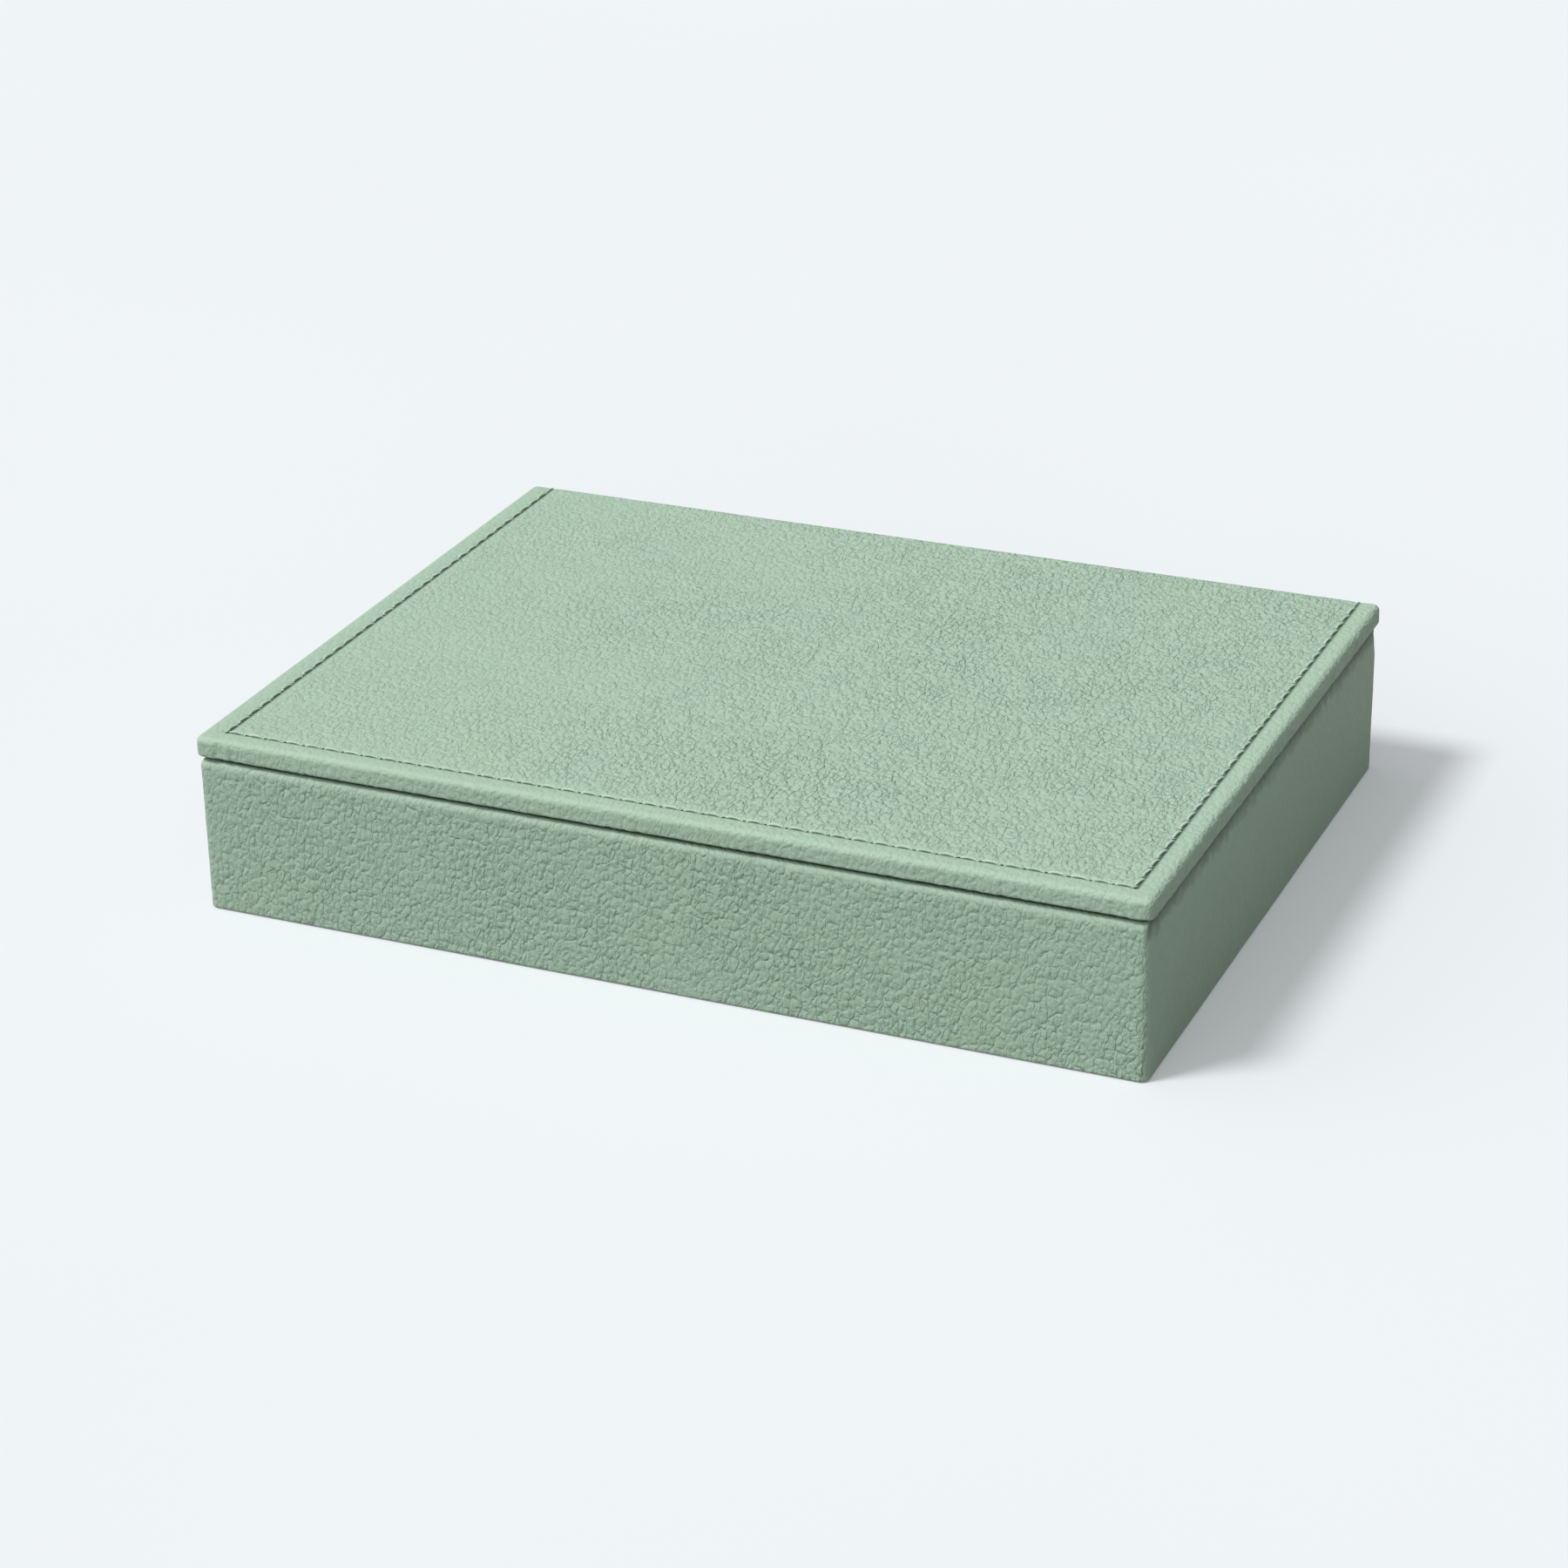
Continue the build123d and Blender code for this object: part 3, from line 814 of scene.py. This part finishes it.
def paint_box(obj, co, x, z):
    """Grain, paler edges and the painted shade under the lid's right edge. x and z are from before the
    leather was displaced.
    """
    patchy = field(co, (30, 30, 30), 6.6, 2)
    inside_edge = smoothstep(z, wrap_hi[2] - 2.4, wrap_hi[2] - 0.6)
    strength = (WALL_GRAIN + WALL_GRAIN_PATCHES * patchy) * (1 - RIM_SMOOTH * inside_edge)
    right_side = smoothstep(x, wrap_hi[0] - 0.8, wrap_hi[0])
    left_side = smoothstep(-x, wrap_hi[0] - 0.8, wrap_hi[0])
    strength = strength * (1 - RIGHT_SMOOTH * right_side - LEFT_SMOOTH * left_side)
    paint(obj, "grain", np.clip(strength, 0.1, 1.0))
    # painted shade on the right wall under the lid's edge, standing in for its contact shadow
    reach = 3.6 + 2.0 * field(co, (2.5, 2.5, 2.5), 12.4)
    under_lid = np.clip(1 - (wrap_hi[2] - z) / reach, 0, 1)
    on_right = smoothstep(x, wrap_hi[0] - 1.2, wrap_hi[0] - 0.5)
    paint(obj, "painted_shade", UNDER_LID_SHADE * on_right * under_lid)
    # paler along the rim and near the floor
    low = 1 - smoothstep(z, wrap_lo[2] + 0.2, wrap_lo[2] + 1.4)
    lightening = np.clip(0.65 * inside_edge + 0.3 * low, 0, 1)
    paint(obj, "lightening", np.clip(lightening * (0.7 + 0.5 * field(co, (6, 6, 6), 9.1)), 0, 1))


# the leather down the back and across the hinge


def swept(name, loop, xs, widths, material):
    """A closed YZ outline carried along X. widths shrinks the outline's thickness at each X."""
    count = len(loop)
    points = []
    for x, w in zip(xs, widths):
        for k, (y, z) in enumerate(loop):
            mate = loop[count - 1 - k]
            mid = ((y + mate[0]) / 2, (z + mate[1]) / 2)
            points.append((x, mid[0] + (y - mid[0]) * w, mid[1] + (z - mid[1]) * w))
    obj = mesh_object(name, points, ring_faces(count, len(xs)), material)
    close_holes(obj)
    return obj


def end_softened(lo, hi, size, soft):
    """X values from lo to hi with a few close ones at both ends, and the thickness share at each."""
    core = steps(lo + soft, hi - soft, size)
    start = [lo + soft * (1 - math.cos(a)) for a in np.radians((0, 22, 45, 68))]
    share = [0.25 + 0.75 * math.sin(math.radians(v)) for v in (0, 30, 55, 75)]
    xs = start + list(core) + [lo + hi - v for v in start[::-1]]
    return np.array(xs), np.array(share + [1.0] * len(core) + share[::-1])


def bulge_y(z):
    """How far the hinge leather stands out of the back plane at height z."""
    half = (fold_hi[2] - fold_lo[2]) / 2
    t = np.clip((z - hinge_z) / half, -1, 1)
    return (fold_hi[1] - spine_hi[1]) * (1 - t * t)


SPINE_FOOT_IN = 0.22
SPINE_PEBBLE = 0.04
HINGE_WRINKLE = 0.05
BACK_ROW_SHADE = 0.6
BACK_GRAIN = 0.5


def make_spine_skin():
    """The back panel's leather, which runs on across the hinge gap to the lid."""
    bottom, top = FOOT, lid_lo[2]
    outer_y, inner_y = spine_hi[1], spine_lo[1]
    heights = list(steps(bottom + 0.5, fold_lo[2], 0.62))
    heights += list(steps(fold_lo[2], top, 0.11)[1:])
    outer = [(outer_y - SPINE_FOOT_IN, bottom), (outer_y - 0.04, bottom + 0.2)]
    outer += [(outer_y + bulge_y(z), z) for z in heights]
    inner = [(inner_y + SPINE_FOOT_IN, bottom), (inner_y + 0.04, bottom + 0.2)]
    inner += [(inner_y + bulge_y(z), z) for z in heights]
    loop = outer + inner[::-1]
    xs, widths = end_softened(spine_lo[0], spine_hi[0], 0.8, 0.5)
    obj = swept("back_panel_and_hinge_leather", loop, xs, widths, TOP_LEATHER)
    co = points_of(obj)
    outside = normals_of(obj)[:, 1] > 0.3
    fade = smoothstep(np.abs(co[:, 2] - hinge_z), 0.2, 1.2)
    below = smoothstep(fold_lo[2] - co[:, 2], 0.5, 4.0)
    height = WALL_SWELL * field(co, (24, 24, 24), 4.4) * below
    height += SPINE_PEBBLE * field(co, (1.9, 1.9, 3.4), 8.3) * below
    height += HINGE_WRINKLE * field(co, (2.4, 2.4, 12.0), 2.9) * (1 - below) * fade
    displace(obj, np.where(outside, height, 0))
    lay_flat(obj)
    # painted shade along the back stitch rows, below the hinge
    row = bell(np.abs(co[:, 0]) - row_x, 0.5)
    paint(obj, "painted_shade", BACK_ROW_SHADE * row * smoothstep(hinge_z - co[:, 2], 1.0, 3.0))
    paint(obj, "grain", np.full(len(co), BACK_GRAIN))
    # paler along the hinge fold
    paint(obj, "lightening", 0.5 * (1 - smoothstep(np.abs(co[:, 2] - hinge_z), 0.3, 1.3)))
    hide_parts("back_leather", "hinge_leather")
    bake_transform(obj)


def hinge_lining_loop():
    """The suede strip's outline: down the back wall, over its rim, round the fold and under the lid."""
    t, rim, front = LINING, wrap_hi[2], lining_lo[1]
    lid_under = lining_hi[2]
    radius = (lid_under - (rim - t)) / 2
    fold_y = lining_hi[1] - radius
    fold_z = (rim - t + lid_under) / 2
    outer, inner = [], []
    for z in steps(lining_lo[2], rim - t, 1.0):
        outer.append((front + t, z))
        inner.append((front, z))
    inner[-1] = (front, rim - 0.12)
    inner.append((front + 0.12, rim))
    outer.append((front + t, rim - t))
    for y in steps(front + t, fold_y, 0.6)[1:]:
        outer.append((y, rim - t))
        inner.append((y, rim))
    for a in np.radians(np.linspace(-90, 90, 15))[1:]:
        c, s = math.cos(a), math.sin(a)
        outer.append((fold_y + radius * c, fold_z + radius * s))
        inner.append((fold_y + (radius - t) * c, fold_z + (radius - t) * s))
    for y in steps(fold_y, front, 0.6)[1:]:
        outer.append((y, lid_under))
        inner.append((y, lid_under - t))
    return outer + inner[::-1]


def make_hinge_lining():
    """The suede strip inside the hinge, which bends between the rim and the lid."""
    xs, widths = end_softened(lining_lo[0], lining_hi[0], 2.0, 0.3)
    obj = swept("hinge_suede", hinge_lining_loop(), xs, widths, SUEDE)
    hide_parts("hinge_lining")
    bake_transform(obj)


# suede pads


PAD_ROUND = 0.4
PAD_CELL = 2.4
PAD_WOBBLE = 0.04
FLOOR_CROWN = 0.25
LINER_CROWN = 0.15


def make_pad(name, node, crown, body, axis="Z", side=1):
    """A card wrapped in suede: rounded edges and a faint crown on its shown face.

    axis and side say which way the shown face looks."""
    lo, hi = (np.array(c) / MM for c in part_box(node))
    order = {"Z": (0, 1, 2), "X": (1, 2, 0), "Y": (2, 0, 1)}[axis]
    a_lo, a_hi = lo[list(order)], hi[list(order)]
    r = PAD_ROUND
    xs = steps(a_lo[0] + r, a_hi[0] - r, PAD_CELL)
    ys = steps(a_lo[1] + r, a_hi[1] - r, PAD_CELL)
    out = Outline(a_lo, a_hi, r, xs, ys, 4)
    depth = a_hi[2] - a_lo[2]
    rings = [out.ring(0, 0.3), out.ring(0, 0)]
    for z in steps(0, depth - r, 0.6)[1:]:
        rings.append(out.ring(z, 0))
    for a in quarter(6)[1:]:
        rings.append(out.ring(depth - r * (1 - math.sin(a)), r * (1 - math.cos(a))))
    points, faces = loft(rings)
    more, more_faces = grid(xs, ys, depth, len(points))
    # crown: the face falls off towards its edges
    local = np.array(points + more)
    u = np.minimum(local[:, 0] - a_lo[0], a_hi[0] - local[:, 0])
    v = np.minimum(local[:, 1] - a_lo[1], a_hi[1] - local[:, 1])
    inward = smoothstep(np.minimum(u, v), 0, 9)
    face = smoothstep(local[:, 2], depth - r, depth)
    local[:, 2] -= face * crown * (1 - inward)
    full = np.empty_like(local)
    full[:, order[0]], full[:, order[1]] = local[:, 0], local[:, 1]
    full[:, order[2]] = a_lo[2] + local[:, 2] if side > 0 else a_hi[2] - local[:, 2]
    obj = mesh_object(name, [tuple(p) for p in full], faces + more_faces, SUEDE)
    close_holes(obj)
    co = points_of(obj)
    wobble = PAD_WOBBLE * field(co, (17, 17, 17), 3.7) - PAD_WOBBLE
    shown = np.abs(normals_of(obj)[:, order[2]]) > 0.7
    displace(obj, np.where(shown, wobble, 0))
    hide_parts(node)
    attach(obj, body)


# stitching


def tube(path, frames, radius, sides):
    """Points and faces of a closed tube round a path; frames holds two directions at each point."""
    points = []
    for p, (u, v) in zip(path, frames):
        for k in range(sides):
            a = 2 * math.pi * k / sides
            points.append(tuple(p + radius * (math.cos(a) * u + math.sin(a) * v)))
    n = len(path)
    faces = ring_faces(sides, n)
    faces.append(tuple(range(sides))[::-1])
    faces.append(tuple((n - 1) * sides + k for k in range(sides)))
    return points, faces


THREAD_R = 0.37
PLY_R = 0.21
PLY_SIDES = 7
TWISTS = 3.5
FRONT_SLANT = 0.34
SIDE_SLANT = 0.85
STITCH_STEPS = 22
STITCH_DIVE = 0.42
HIGH_CROWN = 0.22
LOW_CROWN = 0.08


def ply(centres, across, phase):
    """One ply of a thread, wound round the stitch's middle line."""
    tangents = np.gradient(centres, axis=0)
    path, frames = [], []
    for i, c in enumerate(centres):
        tan = tangents[i] / np.linalg.norm(tangents[i])
        u = np.cross(across, tan)
        u /= np.linalg.norm(u)
        v = np.cross(tan, u)
        a = phase + math.tau * TWISTS * i / STITCH_STEPS
        path.append(c + (THREAD_R - PLY_R) * (math.cos(a) * u + math.sin(a) * v))
        frames.append((u, v))
    return tube(path, frames, PLY_R, PLY_SIDES)


def stitch(line, across, rng, slant, crown):
    """Two plies twisted round an arched path between two holes.

    line gives the point and the outward direction at each share of the way along the leather."""
    rise = crown + 0.06 * rng.random()
    phase = rng.random() * math.tau
    lean = slant * (0.8 + 0.4 * rng.random())
    centres = []
    for i in range(STITCH_STEPS + 1):
        t = i / STITCH_STEPS
        base, up = line(t)
        arch = 1 - (2 * t - 1) ** 6
        drop = (THREAD_R * 0.35 + rise * math.sin(math.pi * t)) * arch - STITCH_DIVE * (1 - arch)
        centres.append(base + up * drop + across * lean * (0.5 - t))
    store = ([], [])
    for turn in (0, math.pi):
        add_part(store, ply(np.array(centres), across, phase + turn))
    return store


def straight(start, end, up):
    """A stitch's line on flat leather."""
    return lambda t: (start + (end - start) * t, up)


HOLE_TILT = math.radians(38)
HOLE_LENGTH = 0.90
HOLE_WIDTH = 0.38
HOLE_SIDES = 12
HOLE_RINGS = ((1.0, -0.06), (0.92, 0.035), (0.55, -0.02))


def hole(at, up, along, across, rng):
    """A slanted awl slit: a shallow dark dish, painted shade of the slit's throat, that lies in the dip
    between two stitches.
    """
    long_axis = along * math.cos(HOLE_TILT) - across * math.sin(HOLE_TILT)
    short_axis = along * math.sin(HOLE_TILT) + across * math.cos(HOLE_TILT)
    length = HOLE_LENGTH * (0.9 + 0.2 * rng.random())
    width = HOLE_WIDTH * (0.9 + 0.2 * rng.random())
    points = []
    for scale, lift in HOLE_RINGS:
        for k in range(HOLE_SIDES):
            t = math.tau * k / HOLE_SIDES
            lengthways = long_axis * length * scale * math.cos(t)
            widthways = short_axis * width * scale * math.sin(t)
            points.append(tuple(at + lengthways + widthways + up * lift))
    last = (len(HOLE_RINGS) - 1) * HOLE_SIDES
    faces = ring_faces(HOLE_SIDES, len(HOLE_RINGS))
    faces.append(tuple(last + k for k in range(HOLE_SIDES)))
    faces.append(tuple(range(HOLE_SIDES))[::-1])
    return points, faces


def add_part(store, part):
    """Adds a part's points and faces to those in store."""
    points, faces = part
    base = len(store[0])
    store[0].extend(points)
    store[1].extend(tuple(base + k for k in f) for f in faces)


X_AXIS, Y_AXIS, Z_AXIS = np.eye(3)
THREAD_SEAT = 0.28
HOLE_SINK = 0.06
FRONT_HOLE_GAP = 0.35
SIDE_HOLE_GAP = 0.55
BENT_HOLE_GAP = 0.25
BENT_SEAT = 0.45
BENT_HOLE_SEAT = 0.34
LAST_STITCH = 0.86
BACK_SEAT = 0.35
BACK_HOLE_LIFT = 0.16


def bent_stitches(side, threads, holes, rng):
    """The last two stitches of a side row, which go over the lid's back edge."""

    def line_from(s, length):
        def line(t):
            (y, z), (ny, nz) = edge_path(s + BENT_HOLE_GAP + (length - 2 * BENT_HOLE_GAP) * t)
            up = np.array((0, ny, nz))
            return np.array((side * row_x, y, z)) - up * BENT_SEAT, up

        return line

    s = -BENT_FLAT
    for length in (side_pitch, side_pitch * LAST_STITCH):
        add_part(threads, stitch(line_from(s, length), -X_AXIS, rng, SIDE_SLANT, LOW_CROWN))
        (y, z), (ny, nz) = edge_path(s)
        up = np.array((0, ny, nz))
        at = np.array((side * row_x, y, z)) - up * BENT_HOLE_SEAT
        add_part(holes, hole(at, up, np.array((0, nz, -ny)), -X_AXIS, rng))
        s += length


def make_lid_stitches():
    """The front row and the two side rows."""
    rng = np.random.default_rng(17)
    threads, holes = ([], []), ([], [])
    level = lid_hi[2] - THREAD_SEAT
    sink = Z_AXIS * HOLE_SINK
    for i in range(FRONT_STITCHES):
        a = np.array((-row_x + i * front_pitch, front_row_y, level))
        b = a + X_AXIS * front_pitch
        line = straight(a + X_AXIS * FRONT_HOLE_GAP, b - X_AXIS * FRONT_HOLE_GAP, Z_AXIS)
        add_part(threads, stitch(line, Y_AXIS, rng, FRONT_SLANT, HIGH_CROWN))
    for i in range(FRONT_STITCHES + 1):
        at = np.array((-row_x + i * front_pitch, front_row_y, level)) - sink
        add_part(holes, hole(at, Z_AXIS, X_AXIS, Y_AXIS, rng))
    for side in (-1, 1):
        for i in range(SIDE_STITCHES):
            a = np.array((side * row_x, front_row_y + i * side_pitch, level))
            b = a + Y_AXIS * side_pitch
            line = straight(a + Y_AXIS * SIDE_HOLE_GAP, b - Y_AXIS * SIDE_HOLE_GAP, Z_AXIS)
            add_part(threads, stitch(line, -X_AXIS, rng, SIDE_SLANT, HIGH_CROWN))
            if i:
                add_part(holes, hole(a - sink, Z_AXIS, Y_AXIS, -X_AXIS, rng))
        bent_stitches(side, threads, holes, rng)
    thread = mesh_object("lid_thread", *threads, THREAD)
    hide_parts("lid_stitching")
    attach(thread, "lid")
    # dark dishes: painted shade of the awl holes
    slits = mesh_object("lid_awl_holes", *holes, HOLE)
    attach(slits, "lid")


def make_back_stitches():
    """The side rows where they go on down the back panel."""
    rng = np.random.default_rng(29)
    lo, hi = (np.array(c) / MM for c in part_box("back_stitching"))
    count = int(round((hi[2] - lo[2] + STITCH_GAP) / front_pitch))
    top = hi[2] + STITCH_GAP / 2
    threads, holes = ([], []), ([], [])
    for side in (-1, 1):
        for i in range(count + 1):
            at = np.array((side * row_x, spine_hi[1] - BACK_SEAT, top - i * front_pitch))
            add_part(holes, hole(at + Y_AXIS * BACK_HOLE_LIFT, Y_AXIS, -Z_AXIS, -X_AXIS, rng))
            if i < count:
                a = at - Z_AXIS * BENT_HOLE_GAP
                b = a - Z_AXIS * (front_pitch - 2 * BENT_HOLE_GAP)
                line = straight(a, b, Y_AXIS)
                add_part(threads, stitch(line, -X_AXIS, rng, SIDE_SLANT, LOW_CROWN))
    thread = mesh_object("back_thread", *threads, THREAD)
    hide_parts("back_stitching")
    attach(thread, "box")
    # dark dishes: painted shade of the awl holes
    slits = mesh_object("back_awl_holes", *holes, HOLE)
    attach(slits, "box")


# CAD pieces that keep their shape


def finish_cad_nodes():
    """Gives the boards, cards and base sheet their materials. Their meshes stay as they are."""
    looks = {"board": BOARD, "card": CARD, "base_sheet": BASE_SUEDE}
    slots = {s["node"]: s["material_slot"] for s in frame["record"]["subparts"]}
    for name, obj in frame["nodes"].items():
        look = looks.get(slots.get(name))
        if look is not None:
            obj.data.materials.clear()
            obj.data.materials.append(look)


# the studio


# the camera was solved from the photo's outlines; its focal length is in the photo's pixels
CAM_FOCAL_PX = 4640.6
PHOTO_PX = 1800.0
CAM_PITCH = math.radians(24.912)
CAM_TURN = math.radians(23.658)
CAM_ROLL = math.radians(-0.980)
CAM_ASIDE = -6.26
CAM_UP = 12.65
CAM_DISTANCE = 1013.46
SENSOR_WIDTH = 36.0


def make_camera():
    """The photo's camera. It looks at the tray's middle on the floor, moved aside and up."""
    fwd = Vector((
        -math.sin(CAM_TURN) * math.cos(CAM_PITCH),
        math.cos(CAM_TURN) * math.cos(CAM_PITCH),
        -math.sin(CAM_PITCH),
    ))
    right = Vector((math.cos(CAM_TURN), math.sin(CAM_TURN), 0))
    up = right.cross(fwd)
    r = math.cos(CAM_ROLL) * right + math.sin(CAM_ROLL) * up
    u = -math.sin(CAM_ROLL) * right + math.cos(CAM_ROLL) * up
    data = bpy.data.cameras.new("camera")
    data.sensor_width = SENSOR_WIDTH
    data.lens = CAM_FOCAL_PX / PHOTO_PX * SENSOR_WIDTH
    data.clip_start, data.clip_end = 0.05, 50
    cam = bpy.data.objects.new("camera", data)
    bpy.context.scene.collection.objects.link(cam)
    place = (-fwd * CAM_DISTANCE + r * CAM_ASIDE + u * CAM_UP) * MM
    turn = Matrix((r, u, -fwd)).transposed()
    cam.matrix_world = Matrix.Translation(place) @ turn.to_4x4()
    bpy.context.scene.camera = cam


def camera_only(nt, seen, unseen):
    """A shader that the camera, reflections and glass see as seen, and every other ray as unseen."""
    path = nt.nodes.new("ShaderNodeLightPath")
    mix = nt.nodes.new("ShaderNodeMixShader")
    rays = path.outputs["Is Camera Ray"]
    mirrored = math_node(nt, "MAXIMUM", path.outputs["Is Glossy Ray"], path.outputs["Is Transmission Ray"])
    nt.links.new(math_node(nt, "MAXIMUM", rays, mirrored), mix.inputs[0])
    nt.links.new(unseen, mix.inputs[1])
    nt.links.new(seen, mix.inputs[2])
    return mix.outputs[0]


FLOOR_GLOW = 0.20
FLOOR_BOUNCE = 0.20
FLOOR_HALF = 6.0


def make_floor():
    """A plain pale floor. The camera sees it in the backdrop's colour, and it throws back less light."""
    mat, nt, shader = new_material("studio_floor")
    co = object_coords(nt)
    tone = map_range(nt, noise_node(nt, co, 3, 2.0), 0.3, 0.7)
    pale = mix_colour(nt, tone, srgb(235.5, 239.5, 242.5), srgb(236.5, 240.5, 243.5))
    put(nt, shader.inputs["Base Color"], pale)
    shader.inputs["Roughness"].default_value = 0.9
    shader.inputs["Specular IOR Level"].default_value = 0.0
    glow = nt.nodes.new("ShaderNodeEmission")
    put(nt, glow.inputs["Color"], pale)
    seen = nt.nodes.new("ShaderNodeMixShader")
    seen.inputs[0].default_value = FLOOR_GLOW
    nt.links.new(shader.outputs[0], seen.inputs[1])
    nt.links.new(glow.outputs[0], seen.inputs[2])
    dim = nt.nodes.new("ShaderNodeBsdfDiffuse")
    dim.inputs["Color"].default_value = (FLOOR_BOUNCE, FLOOR_BOUNCE, FLOOR_BOUNCE, 1.0)
    out = next(n for n in nt.nodes if n.type == "OUTPUT_MATERIAL")
    nt.links.new(camera_only(nt, seen.outputs[0], dim.outputs[0]), out.inputs["Surface"])
    mesh = bpy.data.meshes.new("floor")
    corners = [(a * FLOOR_HALF, b * FLOOR_HALF, 0) for a, b in ((-1, -1), (1, -1), (1, 1), (-1, 1))]
    mesh.from_pydata(corners, [], [(0, 1, 2, 3)])
    floor = bpy.data.objects.new("floor", mesh)
    mesh.materials.append(mat)
    bpy.context.scene.collection.objects.link(floor)


KEY_FROM = (-0.41, -0.37, 0.83)
KEY_POWER = 1.98
KEY_SPREAD = math.radians(15)
SKY = 0.36
SKY_LEAN = (-0.20, -0.38, 0.24)
SKY_LEAST = 0.02


def make_light():
    """A soft key from the front left, and a room that is brighter in front and overhead."""
    world = bpy.data.worlds.new("studio")
    bpy.context.scene.world = world
    world.use_nodes = True
    nt = world.node_tree
    nt.nodes.clear()
    out = nt.nodes.new("ShaderNodeOutputWorld")
    seen = nt.nodes.new("ShaderNodeBackground")
    seen.inputs["Color"].default_value = BACKDROP
    seen.inputs["Strength"].default_value = 1.0
    way = nt.nodes.new("ShaderNodeTexCoord").outputs["Generated"]
    lean = nt.nodes.new("ShaderNodeVectorMath")
    lean.operation = "DOT_PRODUCT"
    nt.links.new(way, lean.inputs[0])
    lean.inputs[1].default_value = SKY_LEAN
    level = math_node(nt, "MAXIMUM", math_node(nt, "ADD", lean.outputs["Value"], SKY), SKY_LEAST)
    room = nt.nodes.new("ShaderNodeBackground")
    room.inputs["Color"].default_value = (1.0, 1.0, 1.0, 1.0)
    nt.links.new(level, room.inputs["Strength"])
    nt.links.new(camera_only(nt, seen.outputs[0], room.outputs[0]), out.inputs["Surface"])

    data = bpy.data.lights.new("key", "SUN")
    data.energy = KEY_POWER
    data.angle = KEY_SPREAD
    key = bpy.data.objects.new("key", data)
    key.rotation_mode = "QUATERNION"
    key.rotation_quaternion = Vector(KEY_FROM).to_track_quat("Z", "Y")
    bpy.context.scene.collection.objects.link(key)


bpy.context.scene.view_settings.view_transform = "Standard"
make_camera()
make_lid_skin()
make_box_skin()
make_spine_skin()
make_hinge_lining()
make_pad("floor_pad", "floor_suede", FLOOR_CROWN, "box")
make_pad("lid_lining_pad", "lid_lining_suede", 0.0, "lid", side=-1)
for wall, axis, side in (("front", "Y", 1), ("back", "Y", -1), ("left", "X", 1), ("right", "X", -1)):
    make_pad(wall + "_lining", wall + "_liner_suede", LINER_CROWN, "box", axis, side)
make_lid_stitches()
make_back_stitches()
finish_cad_nodes()
make_floor()
make_light()
